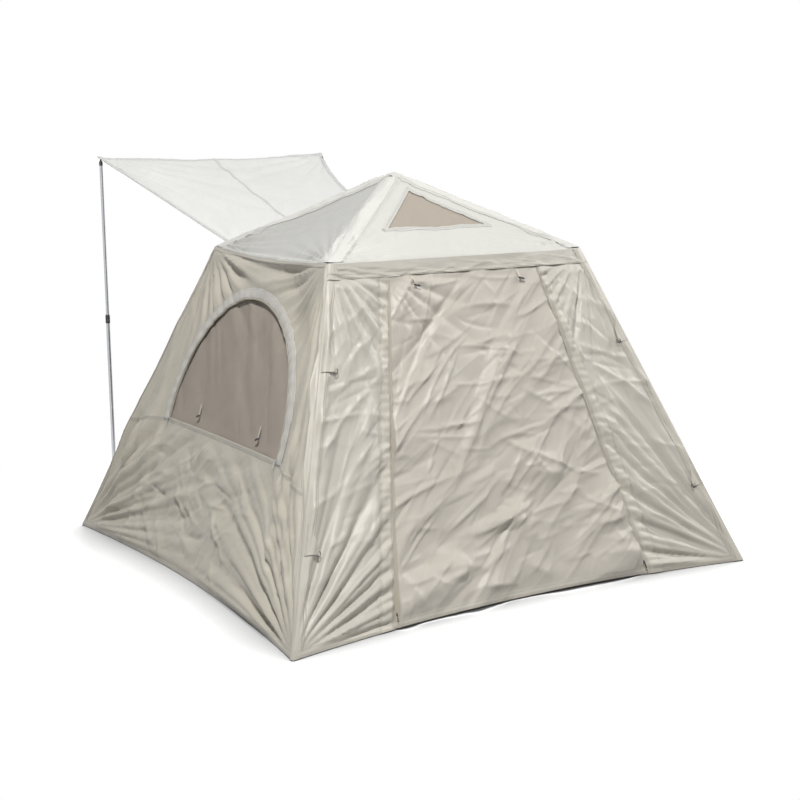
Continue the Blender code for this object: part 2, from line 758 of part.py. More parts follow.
def eye(name, centre, axis, reach, plug_radius):
    """A flat eye with a neck and a plug that fills a tube's end, and the cutter for its pin hole."""
    disc = cylinder_mesh(EYE_RADIUS, EYE_THICKNESS, TUBE_SIDES)
    neck = box_mesh(EYE_THICKNESS - 2.0 * GAP, EYE_RADIUS * 1.2, EYE_REACH)
    plug = cylinder_mesh(plug_radius, EYE_PLUG)
    hole = cylinder_mesh(PIN_RADIUS + GAP * 1.5, EYE_THICKNESS * 2.0, PIN_SIDES)
    tools = [
        add_object(f"{name}_disc", disc, None, aim(centre - axis * (EYE_THICKNESS / 2.0), axis)),
        add_object(f"{name}_neck", neck, None, axes_frame(centre + reach * (EYE_REACH / 2.0), axis, reach)),
        add_object(f"{name}_plug", plug, None, aim(centre + reach * (EYE_REACH - EYE_PLUG / 4.0), reach)),
    ]
    return tools, add_object(f"{name}_hole", hole, None, aim(centre - axis * EYE_THICKNESS, axis))


def make_hub(corners):
    """The hub: a round core with a pair of ears and a pin for each arm, and a stem up to the peak."""
    height = arm_height(HUB_PIVOT_RADIUS)
    core = cylinder_mesh(HUB_CORE_RADIUS, HUB_HEIGHT, 2 * TUBE_SIDES)
    hub = add_object("hub_body", core, dark_plastic(), Matrix.Translation(UP * (height - HUB_HEIGHT / 2.0)))
    tools = []
    for name, corner in corners.items():
        reach = -corner["level"]
        tools += clevis(f"hub_{name}", corner["pivot"], corner["swing"], reach, HUB_PIVOT_RADIUS)
    roof_fall = (PEAK_HEIGHT - EAVE_HEIGHT) / (EAVE_DEPTH / 2.0) * HUB_STEM_TOP_RADIUS
    stem_length = PEAK_HEIGHT - roof_fall - GAP - height
    stem = cylinder_mesh(HUB_STEM_RADIUS, stem_length, TUBE_SIDES, HUB_STEM_TOP_RADIUS)
    tools.append(add_object("hub_stem", stem, None, Matrix.Translation(UP * height)))
    combine(hub, tools, "UNION")


def make_arm(name, corner):
    """A roof arm: an eye on the hub's pin and a tube out to the elbow."""
    start = corner["pivot"] + corner["run"] * EYE_REACH
    arm = pipe(f"roof_arm_{name}", start, corner["end"], ARM_OUTER, ARM_WALL, tube_metal())
    plug_radius = ARM_OUTER - ARM_WALL / 2.0
    tools, hole = eye(f"arm_{name}", corner["pivot"], corner["swing"], corner["run"], plug_radius)
    combine(arm, tools, "UNION")
    combine(arm, [hole], "DIFFERENCE")
    origin_at(arm, corner["pivot"])


def make_elbow(name, corner):
    """The elbow bracket: a socket on the arm's end, with ears and a pin for the leg."""
    run = corner["run"]
    start = corner["end"] - run * (ELBOW_LENGTH - ELBOW_END_WALL)
    block = cylinder_mesh(ELBOW_RADIUS, ELBOW_LENGTH)
    elbow = add_object(f"elbow_bracket_{name}", block, dark_plastic(), aim(start, run))
    back = (corner["rise"] - corner["bend"] * corner["rise"].dot(corner["bend"])).normalized()
    length = LEG_PIVOT_DROP + EAR_WIDTH / 2.0
    combine(elbow, clevis(f"elbow_{name}", corner["knee"], corner["bend"], back, length), "UNION")
    bore_start = start - run * ELBOW_END_WALL
    bore_length = ELBOW_LENGTH + GAP
    bore = cylinder_mesh(ARM_OUTER + GAP, bore_length)
    combine(elbow, [add_object(f"elbow_bore_{name}", bore, None, aim(bore_start, run))], "DIFFERENCE")
    origin_at(elbow, corner["pivot"])


def make_leg_upper(name, corner):
    """The upper leg tube, with its eye at the knee and the lock collar at its lower end."""
    knee, leg = corner["knee"], corner["leg"]
    start = knee + leg * LEG_HEAD_REACH
    end = start + leg * UPPER_LENGTH
    upper = pipe(f"leg_upper_{name}", start, end, UPPER_OUTER, LEG_WALL, tube_metal())
    tools, hole = eye(f"leg_{name}", knee, corner["bend"], leg, UPPER_OUTER - LEG_WALL / 2.0)
    collar_start = end - leg * (COLLAR_LENGTH - COLLAR_LIP)
    collar = cylinder_mesh(COLLAR_RADIUS, COLLAR_LENGTH, TUBE_SIDES)
    tools.append(add_object(f"collar_{name}", collar, None, aim(collar_start, leg)))
    combine(upper, tools, "UNION")
    bore = cylinder_mesh(UPPER_OUTER - LEG_WALL + GAP / 2.0, 2.0 * COLLAR_LENGTH)
    bore_place = aim(collar_start - leg * (COLLAR_LENGTH / 4.0), leg)
    well = cylinder_mesh(BUTTON_RADIUS + GAP, COLLAR_RADIUS, PIN_SIDES)
    well_start = collar_start + leg * (COLLAR_LENGTH / 2.0) + corner["inward"] * (UPPER_OUTER + GAP)
    cuts = [
        hole,
        add_object(f"collar_bore_{name}", bore, None, bore_place),
        add_object(f"button_well_{name}", well, None, aim(well_start, corner["inward"])),
    ]
    combine(upper, cuts, "DIFFERENCE")
    origin_at(upper, knee)


def make_leg_lower(name, corner):
    """The lower leg tube that slides in the upper one, its ball foot, and the lock's snap button."""
    knee, leg, inward, foot_middle = corner["knee"], corner["leg"], corner["inward"], corner["foot"]
    end = LEG_HEAD_REACH + UPPER_LENGTH
    lower_start = knee + leg * (end - LEG_JOIN)
    pipe(f"leg_lower_{name}", lower_start, foot_middle - leg * GAP, LOWER_OUTER, LEG_WALL, tube_metal())
    lock = knee + leg * (end + COLLAR_LIP - COLLAR_LENGTH / 2.0)
    button_start = lock + inward * (COLLAR_RADIUS + BUTTON_PROUD - BUTTON_LENGTH)
    button = cylinder_mesh(BUTTON_RADIUS, BUTTON_LENGTH, PIN_SIDES)
    add_object(f"snap_button_{name}", button, zip_metal(), aim(button_start, inward))

    def build(shape):
        bmesh.ops.create_uvsphere(shape, u_segments=TUBE_SIDES, v_segments=8, radius=FOOT_RADIUS)

    foot = add_object(f"foot_{name}", mesh_from(build), dark_plastic(), Matrix.Translation(foot_middle))
    neck = cylinder_mesh(LOWER_OUTER + FOOT_SOCKET_WALL, FOOT_RADIUS + FOOT_SOCKET, TUBE_SIDES)
    combine(foot, [add_object(f"foot_neck_{name}", neck, None, aim(foot_middle, -leg))], "UNION")
    socket = cylinder_mesh(LOWER_OUTER + GAP, 2.0 * FOOT_RADIUS + FOOT_SOCKET)
    combine(foot, [add_object(f"foot_socket_{name}", socket, None, aim(foot_middle, -leg))], "DIFFERENCE")


def tie_strap(name, top, low, out, hinge):
    """A strap sewn in at its top, with a toggle bar across its lower end."""
    down = (low - top).normalized()
    strap = box_mesh(TIE_WIDTH, TIE_CLOTH, TIE_LENGTH)
    place = axes_frame(top + down * (TIE_LENGTH / 2.0) + out * (TIE_CLOTH / 2.0), ACROSS, -down)
    bar = cylinder_mesh(TOGGLE_RADIUS, TOGGLE_LENGTH, 8)
    bar_start = top + down * TIE_LENGTH + out * (TIE_CLOTH / 2.0) - ACROSS * (TOGGLE_LENGTH / 2.0)
    tie = add_object(name, strap, webbing(), place)
    combine(tie, [add_object(f"{name}_bar", bar, None, aim(bar_start, ACROSS))], "UNION")
    origin_at(tie, hinge)


def make_ties():
    """Two tie straps at the top of each door panel, for when it is rolled up."""
    run, over = awning_axes()
    width = half_sizes("front", SEAM_SHARE)[0] * DOORWAY_SHARE
    for word, hand in HANDS.items():
        across = hand * TIE_PLACE / width
        top = door_place(across, 1.0 - TIE_DROP / EAVE_HEIGHT, GAP)
        low = door_place(across, 1.0 - (TIE_DROP + TIE_LENGTH) / EAVE_HEIGHT, TOGGLE_STAND_OFF)
        tie_strap(f"front_door_tie_{word}", top, low, wall_normal("front"), door_hinge())
        top = awning_point(hand * TIE_PLACE / AWNING_TOP_HALF, 0.0, GAP) + run * TIE_DROP
        low = top + run * TIE_LENGTH + over * (TOGGLE_STAND_OFF - GAP)
        tie_strap(f"back_door_tie_{word}", top, low, over, awning_hinge())


def zip_slider(name, low, high, normal, inward):
    """A zip slider with its pull, near the low end of a straight zip."""
    run = (high - low).normalized()
    point = low + run * SLIDER_END + inward * SLIDER_INSET + normal * SLIDER_LIFT
    place = axes_frame(point, run.cross(normal), normal)
    body = box_mesh(SLIDER_WIDTH, SLIDER_LENGTH, SLIDER_HEIGHT)
    body.transform(Matrix.Translation(UP * (SLIDER_HEIGHT / 2.0)))
    slider = add_object(name, body, zip_metal(), place)
    pull = box_mesh(SLIDER_PULL_WIDTH, SLIDER_PULL, SLIDER_HEIGHT * 0.3)
    pull_place = place @ Matrix.Translation((0.0, -SLIDER_PULL / 2.0, SLIDER_HEIGHT * 0.8))
    combine(slider, [add_object(f"{name}_pull", pull, None, pull_place)], "UNION")


def make_sliders():
    over = awning_axes()[1]
    for word, hand in HANDS.items():
        inward = ACROSS * -hand
        low, high = door_place(hand, 0.0), door_place(hand, 1.0)
        zip_slider(f"front_zip_slider_{word}", low, high, wall_normal("front"), inward)
        near, far = awning_point(hand, 0.0), awning_point(hand, 1.0)
        zip_slider(f"back_zip_slider_{word}", near, far, over, inward)


def make_tent():
    empty_scene()
    corners = {name: frame_corner(*hands) for name, hands in CORNERS.items()}
    make_groundsheet()
    make_end_walls()
    make_side_walls()
    make_windows()
    make_roof()
    make_skylight_mesh()
    make_hip_strips()
    make_peak_cap()
    make_front_door()
    make_awning()
    make_awning_poles()
    make_hub(corners)
    for name, corner in corners.items():
        make_arm(name, corner)
        make_elbow(name, corner)
        make_leg_upper(name, corner)
        make_leg_lower(name, corner)
    make_ties()
    make_sliders()


make_tent()
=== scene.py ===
import math

import bpy
import numpy as np
from mathutils import Matrix, Quaternion, Vector


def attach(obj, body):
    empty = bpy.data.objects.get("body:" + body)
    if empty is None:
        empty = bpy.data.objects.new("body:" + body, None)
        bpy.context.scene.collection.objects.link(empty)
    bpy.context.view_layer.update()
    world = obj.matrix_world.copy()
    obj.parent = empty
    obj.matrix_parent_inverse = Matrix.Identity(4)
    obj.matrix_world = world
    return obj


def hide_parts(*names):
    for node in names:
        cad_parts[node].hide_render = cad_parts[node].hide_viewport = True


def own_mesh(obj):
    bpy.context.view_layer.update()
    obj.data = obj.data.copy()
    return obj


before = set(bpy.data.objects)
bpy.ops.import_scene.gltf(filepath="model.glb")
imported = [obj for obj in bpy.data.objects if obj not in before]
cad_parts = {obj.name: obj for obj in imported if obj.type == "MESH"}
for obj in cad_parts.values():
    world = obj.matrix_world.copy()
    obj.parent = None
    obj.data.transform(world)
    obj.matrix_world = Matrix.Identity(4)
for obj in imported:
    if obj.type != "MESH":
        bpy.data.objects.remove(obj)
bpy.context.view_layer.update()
print("frame loaded")

# camera fitted to the photograph's 800 x 800 frame
cameraSetup = {
    "azimuth": -31.992,
    "elevation": 10.692,
    "roll": -0.404,
    "distance": 6.411,
    "target": (0.008, -0.024, 0.659),
    "focalShare": 1440.22 / 800.0,
    "sensor": 36.0,
}

# the tent's main sizes, in metres
tent = {
    "baseWidth": 2.200,
    "baseDepth": 2.140,
    "eaveWidth": 1.240,
    "eaveDepth": 1.030,
    "eaveHeight": 1.336,
    "peakHeight": 1.660,
    "frontPull": 0.115,
    "sidePull": 0.075,
    "eaveSag": 0.018,
    "seamInset": 0.0024,
    "hemHeight": 0.00305,
    "valanceDrop": 0.062,
    "peakOpening": 0.030,
    "thickness": 0.0015,
}

windowSizes = {
    "sill": 0.582,
    "halfWidth": 0.520,
    "rise": 0.585,
    "band": 0.046,
}

# each side's directions: along its wall, and outwards
alongOut = {
    "front": (np.array((1.0, 0.0, 0.0)), np.array((0.0, -1.0, 0.0))),
    "right": (np.array((0.0, 1.0, 0.0)), np.array((1.0, 0.0, 0.0))),
    "back": (np.array((-1.0, 0.0, 0.0)), np.array((0.0, 1.0, 0.0))),
    "left": (np.array((0.0, -1.0, 0.0)), np.array((-1.0, 0.0, 0.0))),
}
upward = np.array((0.0, 0.0, 1.0))
seamShare = 1.0 - tent["valanceDrop"] / tent["eaveHeight"]
doorwayShare = 0.57
wallSlope = math.hypot(tent["eaveHeight"], (tent["baseDepth"] - tent["eaveDepth"]) / 2.0)
sideSlope = math.hypot(tent["eaveHeight"], (tent["baseWidth"] - tent["eaveWidth"]) / 2.0)


# materials

def plug(tree, node, inputs):
    # an output is linked to its input, and a plain value is set on it
    for key, value in inputs.items():
        if hasattr(value, "is_output"):
            tree.links.new(value, node.inputs[key])
        else:
            node.inputs[key].default_value = value


def addNode(tree, kind, inputs=None, **settings):
    node = tree.nodes.new(kind)
    for key, value in settings.items():
        setattr(node, key, value)
    plug(tree, node, inputs or {})
    return node


def calculate(tree, operation, first, second=None):
    inputs = {0: first} if second is None else {0: first, 1: second}
    return addNode(tree, "ShaderNodeMath", inputs, operation=operation).outputs["Value"]


def mapRange(tree, value, low, high, lowest=0.0, highest=1.0, **settings):
    limits = {"Value": value, "From Min": low, "From Max": high, "To Min": lowest, "To Max": highest}
    return addNode(tree, "ShaderNodeMapRange", limits, **settings).outputs["Result"]


def noiseTexture(tree, place, scale, detail, roughness=0.5, distortion=0.0, kind="FBM"):
    inputs = {"Vector": place, "Scale": scale, "Detail": detail, "Roughness": roughness, "Distortion": distortion}
    return addNode(tree, "ShaderNodeTexNoise", inputs, noise_type=kind).outputs["Fac"]


def waveTexture(tree, place, pitch, way, distortion=0.0):
    inputs = {"Vector": place, "Scale": math.tau / (20.0 * pitch), "Distortion": distortion}
    return addNode(tree, "ShaderNodeTexWave", inputs, bands_direction=way).outputs["Fac"]


def addBump(tree, height, strength, distance, under=None, invert=False):
    inputs = {"Height": height, "Strength": strength, "Distance": distance}
    if under is not None:
        inputs["Normal"] = under
    return addNode(tree, "ShaderNodeBump", inputs, invert=invert).outputs["Normal"]


def mixColours(tree, share, first, second):
    first = first if hasattr(first, "is_output") else (*first, 1.0)
    return addNode(tree, "ShaderNodeMix", {0: share, 6: first, 7: (*second, 1.0)}, data_type="RGBA").outputs[2]


def shade(colour, factor):
    return tuple(min(1.0, channel * factor) for channel in colour)


def varied(tree, share, colour, low, high):
    return mixColours(tree, share, shade(colour, low), shade(colour, high))


def newMaterial(name, roughness, space, metallic=0.0):
    material = bpy.data.materials.new(name)
    material.use_nodes = True
    tree = material.node_tree
    shader = tree.nodes["Principled BSDF"]
    plug(tree, shader, {"Roughness": roughness, "Metallic": metallic})
    return material, tree, shader, addNode(tree, "ShaderNodeTexCoord").outputs[space]


clothLooks = {
    "variation": 0.07,
    "weavePitch": 0.0011,
    "weaveHeight": 0.00016,
    "creaseHeight": 0.0030,
    "fineHeight": 0.0010,
    "sheen": 0.12,
}
stitchLooks = {"pitch": 0.0028, "thick": 0.0006, "rows": (0.0040, 0.0085), "depth": 0.0009, "shade": 0.62}


def threadLines(tree):
    # two rows of stitches, drawn on the UV map that holds the distance from a strip's edge
    spot = addNode(tree, "ShaderNodeUVMap", uv_map="seams").outputs["UV"]
    parts = addNode(tree, "ShaderNodeSeparateXYZ", {"Vector": spot}).outputs
    pitch, thick = stitchLooks["pitch"], stitchLooks["thick"]
    dash = calculate(tree, "GREATER_THAN", calculate(tree, "PINGPONG", parts["X"], pitch), pitch * 0.3)
    rows = []
    for place in stitchLooks["rows"]:
        away = calculate(tree, "ABSOLUTE", calculate(tree, "SUBTRACT", parts["Y"], place))
        rows.append(mapRange(tree, away, thick, thick * 2.0, 1.0, 0.0))
    return calculate(tree, "MULTIPLY", calculate(tree, "MAXIMUM", *rows), dash)


def clothMaterial(name, colour, roughness, creasing=1.0, stitched=False):
    # woven polyester: weave and creases on the piece's own UV map, in metres
    material, tree, shader, place = newMaterial(name, roughness, "UV")
    tone = noiseTexture(tree, place, 3.5, 3.0)
    vary = clothLooks["variation"]
    base = varied(tree, tone, colour, 1.0 - vary, 1.0 + vary)
    threads = [waveTexture(tree, place, clothLooks["weavePitch"], way, 0.3) for way in ("X", "Y")]
    crease = noiseTexture(tree, place, 7.0, 4.0, 0.55, 0.6, "RIDGED_MULTIFRACTAL")
    fine = noiseTexture(tree, place, 34.0, 3.0, 0.5, 0.4)
    normal = addBump(tree, crease, min(1.0, 0.5 * creasing), clothLooks["creaseHeight"])
    normal = addBump(tree, fine, min(1.0, 0.6 * creasing), clothLooks["fineHeight"], normal)
    normal = addBump(tree, calculate(tree, "MULTIPLY", *threads), 0.5, clothLooks["weaveHeight"], normal)
    if stitched:
        thread = threadLines(tree)
        base = mixColours(tree, thread, base, shade(colour, stitchLooks["shade"]))
        normal = addBump(tree, thread, 0.8, stitchLooks["depth"], normal, invert=True)
    plug(tree, shader, {
        "Base Color": base, "Normal": normal, "Sheen Weight": clothLooks["sheen"], "Sheen Roughness": 0.4,
        "Specular IOR Level": 0.42,
    })
    return material


def nettingMaterial(name, colour, openShare=0.42, pitch=0.0016):
    # insect netting: threads on the piece's UV map, and holes between them
    material, tree, shader, place = newMaterial(name, 0.75, "UV")
    threads = [waveTexture(tree, place, pitch, way) for way in ("X", "Y")]
    cover = mapRange(tree, calculate(tree, "MAXIMUM", *threads), 0.55, 0.95, 1.0 - openShare, 1.0)
    base = varied(tree, noiseTexture(tree, place, 5.0, 2.0), colour, 0.93, 1.07)
    plug(tree, shader, {"Base Color": base, "Alpha": cover})
    return material


def webbingMaterial(name, colour, pitch=0.0016):
    # narrow woven tape with a herringbone of ribs
    material, tree, shader, place = newMaterial(name, 0.72, "UV")
    ribs = waveTexture(tree, place, pitch, "DIAGONAL", 1.0)
    base = varied(tree, ribs, colour, 0.86, 1.04)
    plug(tree, shader, {"Base Color": base, "Normal": addBump(tree, ribs, 0.8, 0.0004)})
    return material


def metalMaterial(name, colour, roughness):
    # drawn metal: fine scratches along the tube and a little tarnish
    material, tree, shader, place = newMaterial(name, roughness, "Object", 1.0)
    drawn = addNode(tree, "ShaderNodeMapping", {"Vector": place, "Scale": (1.0, 1.0, 0.05)}).outputs["Vector"]
    scratch = noiseTexture(tree, drawn, 420.0, 2.0)
    base = varied(tree, noiseTexture(tree, place, 14.0, 4.0), colour, 0.86, 1.06)
    dull = mapRange(tree, scratch, 0.3, 0.7, roughness - 0.07, roughness + 0.12)
    plug(tree, shader, {"Base Color": base, "Roughness": dull, "Normal": addBump(tree, scratch, 0.15, 0.0002)})
    return material


def plasticMaterial(name, colour, roughness):
    # moulded nylon with a fine spark texture and pale scuffs
    material, tree, shader, place = newMaterial(name, roughness, "Object")
    grain = noiseTexture(tree, place, 900.0, 2.0)
    worn = mapRange(tree, noiseTexture(tree, place, 22.0, 5.0, 0.7), 0.58, 0.75)
    base = varied(tree, worn, colour, 1.0, 1.9)
    plug(tree, shader, {"Base Color": base, "Normal": addBump(tree, grain, 0.3, 0.0002)})
    return material


# colour and roughness; cloth has its creasing and its stitches too, netting its open share, tape its pitch
looks = {
    "frontCloth": (clothMaterial, (0.446, 0.423, 0.372), 0.40),
    # painted shade: a darker copy of the wall cloth for the valance, for the shade under the eave
    "valanceCloth": (clothMaterial, (0.375, 0.356, 0.313), 0.38),
    # painted light: a warmer copy of the wall cloth for the side walls, for the warmer light that falls on them
    "sideCloth": (clothMaterial, (0.450, 0.420, 0.352), 0.36),
    "doorCloth": (clothMaterial, (0.428, 0.398, 0.348), 0.40),
    "roofCloth": (clothMaterial, (0.520, 0.514, 0.478), 0.42, 0.6),
    # painted shade: a darker, greyer copy of the roof cloth for the roof's side faces, which face away from the light
    "roofSideCloth": (clothMaterial, (0.425, 0.422, 0.398), 0.46, 0.6),
    # painted light: a paler copy of the door cloth for the awning, for the bright light on it
    "awningCloth": (clothMaterial, (0.640, 0.645, 0.622), 0.52, 0.7),
    "hemCloth": (clothMaterial, (0.465, 0.437, 0.378), 0.42, 0.8, True),
    "roofHemCloth": (clothMaterial, (0.570, 0.563, 0.526), 0.42, 0.8, True),
    # painted light: the awning's hems in the same paler copy of their cloth
    "awningHemCloth": (clothMaterial, (0.620, 0.625, 0.600), 0.52, 0.7, True),
    "bandCloth": (clothMaterial, (0.490, 0.473, 0.432), 0.30, 1.0, True),
    "coverCloth": (clothMaterial, (0.560, 0.500, 0.420), 0.40, 1.2),
    "floorCloth": (clothMaterial, (0.280, 0.260, 0.225), 0.60, 0.6),
    "netting": (nettingMaterial, (0.390, 0.343, 0.292)),
    "skyNetting": (nettingMaterial, (0.380, 0.335, 0.280), 0.35),
    "webbing": (webbingMaterial, (0.500, 0.460, 0.390)),
    "zipTape": (webbingMaterial, (0.400, 0.365, 0.300), 0.0018),
    "tubeMetal": (metalMaterial, (0.550, 0.560, 0.580), 0.34),
    "zipMetal": (metalMaterial, (0.560, 0.560, 0.570), 0.28),
    "zipDark": (metalMaterial, (0.085, 0.078, 0.070), 0.38),
    "darkPlastic": (plasticMaterial, (0.040, 0.040, 0.043), 0.50),
}
finishes = {name: make(name, *values) for name, (make, *values) in looks.items()}
print("materials made")


# the tent's surfaces, as functions of across (-1 to 1) and share (0 to 1)

def lerp(start, end, share):
    return start + (end - start) * share


def column(values):
    return np.asarray(values, float).reshape(-1, 1)


def isEnd(side):
    return side in ("front", "back")


def halfSizes(side, share):
    # a wall's half width, and its distance from the middle
    wide = lerp(tent["baseWidth"], tent["eaveWidth"], share) / 2.0
    deep = lerp(tent["baseDepth"], tent["eaveDepth"], share) / 2.0
    return (wide, deep) if isEnd(side) else (deep - tent["seamInset"], wide)


def wallNormal(side):
    lean = halfSizes(side, 0.0)[1] - halfSizes(side, 1.0)[1]
    normal = alongOut[side][1] * tent["eaveHeight"] + upward * lean
    return normal / np.linalg.norm(normal)


def wallPoint(side, across, share, lift=0.0):
    along, out = alongOut[side]
    half, away = halfSizes(side, share)
    bow = 1.0 - across * across
    pull = tent["frontPull" if isEnd(side) else "sidePull"] * bow * (1.0 - share)
    top = tent["eaveHeight"] - (0.0 if isEnd(side) else tent["eaveSag"] * bow)
    height = lerp(tent["hemHeight"], top, share)
    flat = along * column(across * half) + out * column(away - pull) + upward * column(height)
    return flat + wallNormal(side) * column(lift + 0.0 * across)


def shareAt(height):
    return (height - tent["hemHeight"]) / (tent["eaveHeight"] - tent["hemHeight"])


def roofPoint(side, across, share, lift=0.0):
    along, out = alongOut[side]
    halves = (tent["eaveWidth"] / 2.0, tent["eaveDepth"] / 2.0)
    half, away = halves if isEnd(side) else halves[::-1]
    gone = share * (1.0 - tent["peakOpening"] / halves[0])
    sag = 0.0 if isEnd(side) else tent["eaveSag"] * (1.0 - across * across) * (1.0 - share)
    height = lerp(tent["eaveHeight"], tent["peakHeight"], gone) - sag
    normal = out * (tent["peakHeight"] - tent["eaveHeight"]) + upward * away
    normal = normal / np.linalg.norm(normal)
    width = half * (1.0 - gone) - (0.0 if isEnd(side) else tent["seamInset"])
    flat = along * column(across * width) + out * column(away * (1.0 - gone)) + upward * column(height)
    return flat + normal * column(lift + 0.0 * across)


def folded(point, folds, side):
    # a side's surface with its folds in it
    return lambda across, share, lift=0.0: point(side, across, share, folds(side, across, share) + lift)


def sillShare(side, across):
    # the seam under the window runs down a little towards the corners
    reach = np.clip((np.abs(across) * halfSizes(side, 0.4)[0] - 0.55) / 0.30, 0.0, 1.4)
    return shareAt(windowSizes["sill"] - 0.060 * reach ** 1.3)


# what folds are made of

def hashed(value):
    return value - np.floor(value)


def latticeNoise(x, y, seed):
    # smooth noise from -1 to 1 with one cell to a unit
    cellX, cellY = np.floor(x), np.floor(y)
    partX, partY = x - cellX, y - cellY
    partX, partY = partX * partX * (3.0 - 2.0 * partX), partY * partY * (3.0 - 2.0 * partY)

    def corner(stepX, stepY):
        return hashed(np.sin((cellX + stepX) * 127.1 + (cellY + stepY) * 311.7 + seed * 74.7) * 43758.5453)

    low = lerp(corner(0, 0), corner(1, 0), partX)
    high = lerp(corner(0, 1), corner(1, 1), partX)
    return 2.0 * lerp(low, high, partY) - 1.0


def turnedAxes(x, y, degrees):
    # distances ahead and aside of a direction in the cloth
    turn = math.radians(degrees)
    return x * math.cos(turn) + y * math.sin(turn), y * math.cos(turn) - x * math.sin(turn)


def stretched(x, y, degrees, length, width, seed):
    # noise drawn out along one direction, as slack cloth folds
    ahead, aside = turnedAxes(x, y, degrees)
    wander = 0.35 * latticeNoise(ahead / length * 1.7, aside / width * 0.6, seed + 5)
    return latticeNoise(ahead / length, aside / width + wander, seed)


def ridge(noise, power=3.0):
    # sharp creases where the noise passes through zero
    return (1.0 - np.abs(noise)) ** power


def pleat(phase, sharp=1.25):
    # rounded folds with sharp valleys between them, from -1 to 1
    return 2.0 * np.abs(np.cos(phase / 2.0)) ** sharp - 1.0


def fan(x, y, corner, folds, reach, seed, grow):
    # tension folds that spread out from one corner and widen as they go
    distance = np.hypot(x - corner[0], y - corner[1])
    angle = np.arctan2(np.abs(y - corner[1]), np.abs(x - corner[0]) + 0.004)
    wander = 0.9 * latticeNoise(angle * 4.0 + 9.0, 0.4, seed)
    wander = wander + 0.3 * latticeNoise(distance * 2.2, angle * 4.0, seed + 1.0)
    uneven = 0.62 + 0.38 * latticeNoise(angle * 6.0 + 3.0, distance * 1.1, seed + 2.0)
    strength = np.clip(distance / grow, 0.0, 1.0) ** 1.7 * np.exp(-(distance / reach) ** 2)
    return strength * uneven * pleat(folds * angle + 2.2 * wander + seed)


def cornerFans(x, y, rows, corners, seed, hand):
    # rows of: height, corner, folds, reach, step of the seed, and where the folds are full
    total = 0.0 * x
    for height, corner, folds, reach, step, grow in rows:
        total = total + height * fan(x, y, corners[corner], folds, reach, seed + step * hand, grow)
    return total


def creases(x, y, count, area, slant, spread, length, width, height, seed):
    # sharp straight creases scattered over an area (left, right, low, high), most of them along one slant
    chance = np.random.default_rng(seed)
    total = np.zeros(np.broadcast(x, y).shape)
    for _ in range(count):
        middleX, middleY = chance.uniform(area[0], area[1]), chance.uniform(area[2], area[3])
        turn = math.radians(chance.normal(slant, spread))
        run = length * chance.uniform(0.5, 1.5)
        wide = width * chance.uniform(0.6, 1.6)
        ahead = (x - middleX) * math.cos(turn) + (y - middleY) * math.sin(turn)
        aside = (y - middleY) * math.cos(turn) - (x - middleX) * math.sin(turn)
        aside = aside + chance.uniform(-0.12, 0.12) * ahead * ahead / run
        steep = np.where(aside > 0.0, aside, -1.9 * aside) / wide
        steep = np.sqrt(steep * steep + 0.10) - 0.316
        size = height * chance.uniform(0.35, 1.0) * (1.0 if chance.random() < 0.7 else -0.7)
        total += size * np.exp(-(ahead / run) ** 4) * np.exp(-steep)
    return total


def crumple(x, y, degrees, longCell, wideCell, width, seed):
    # straight storage creases where the cells of an uneven net meet, from 0 to 1
    ahead, aside = turnedAxes(x, y, degrees)
    ahead, aside = ahead / longCell, aside / wideCell
    cellX, cellY = np.floor(ahead), np.floor(aside)
    nearest = np.full(np.broadcast(x, y).shape, 9.0)
    second = nearest.copy()
    for stepX in (-1.0, 0.0, 1.0):
        for stepY in (-1.0, 0.0, 1.0):
            spotX, spotY = cellX + stepX, cellY + stepY
            chanceX = hashed(np.sin(spotX * 127.1 + spotY * 311.7 + seed * 31.3) * 43758.5453)
            chanceY = hashed(np.sin(spotX * 269.5 + spotY * 183.3 + seed * 17.9) * 28001.8384)
            away = np.hypot(spotX + chanceX - ahead, spotY + chanceY - aside)
            second = np.minimum(second, np.maximum(nearest, away))
            nearest = np.minimum(nearest, away)
    gap = (second - nearest) * math.sqrt(longCell * wideCell) / width
    return np.exp(-np.sqrt(gap * gap + 0.08) + 0.283)


def edgeFade(value, low, high, width):
    # 0 at both ends of a range and 1 inside it
    inside = np.minimum(value - low, high - value) / width
    inside = np.clip(inside, 0.0, 1.0)
    return inside * inside * (3.0 - 2.0 * inside)


# the folds of each panel; creases are rows of: count, area, slant, spread, length, width, height and seed

endFans = (
    (0.0220, "foot", 30.0, 0.80, 1.0, 0.30),
    (0.0170, "eave", 24.0, 0.60, 2.0, 0.26),
    (0.0085, "foot", 74.0, 0.80, 5.0, 0.42),
    (0.0070, "eave", 56.0, 0.50, 6.0, 0.32),
)
endCreases = (
    (34, (0.35, 1.05, 0.05, 1.35), 122.0, 14.0, 0.160, 0.024, 0.0130, 1),
    (70, (0.35, 1.05, 0.05, 1.35), 148.0, 16.0, 0.100, 0.012, 0.0072, 2),
    (20, (0.33, 0.62, 0.05, 1.35), 35.0, 14.0, 0.060, 0.013, 0.0050, 3),
)


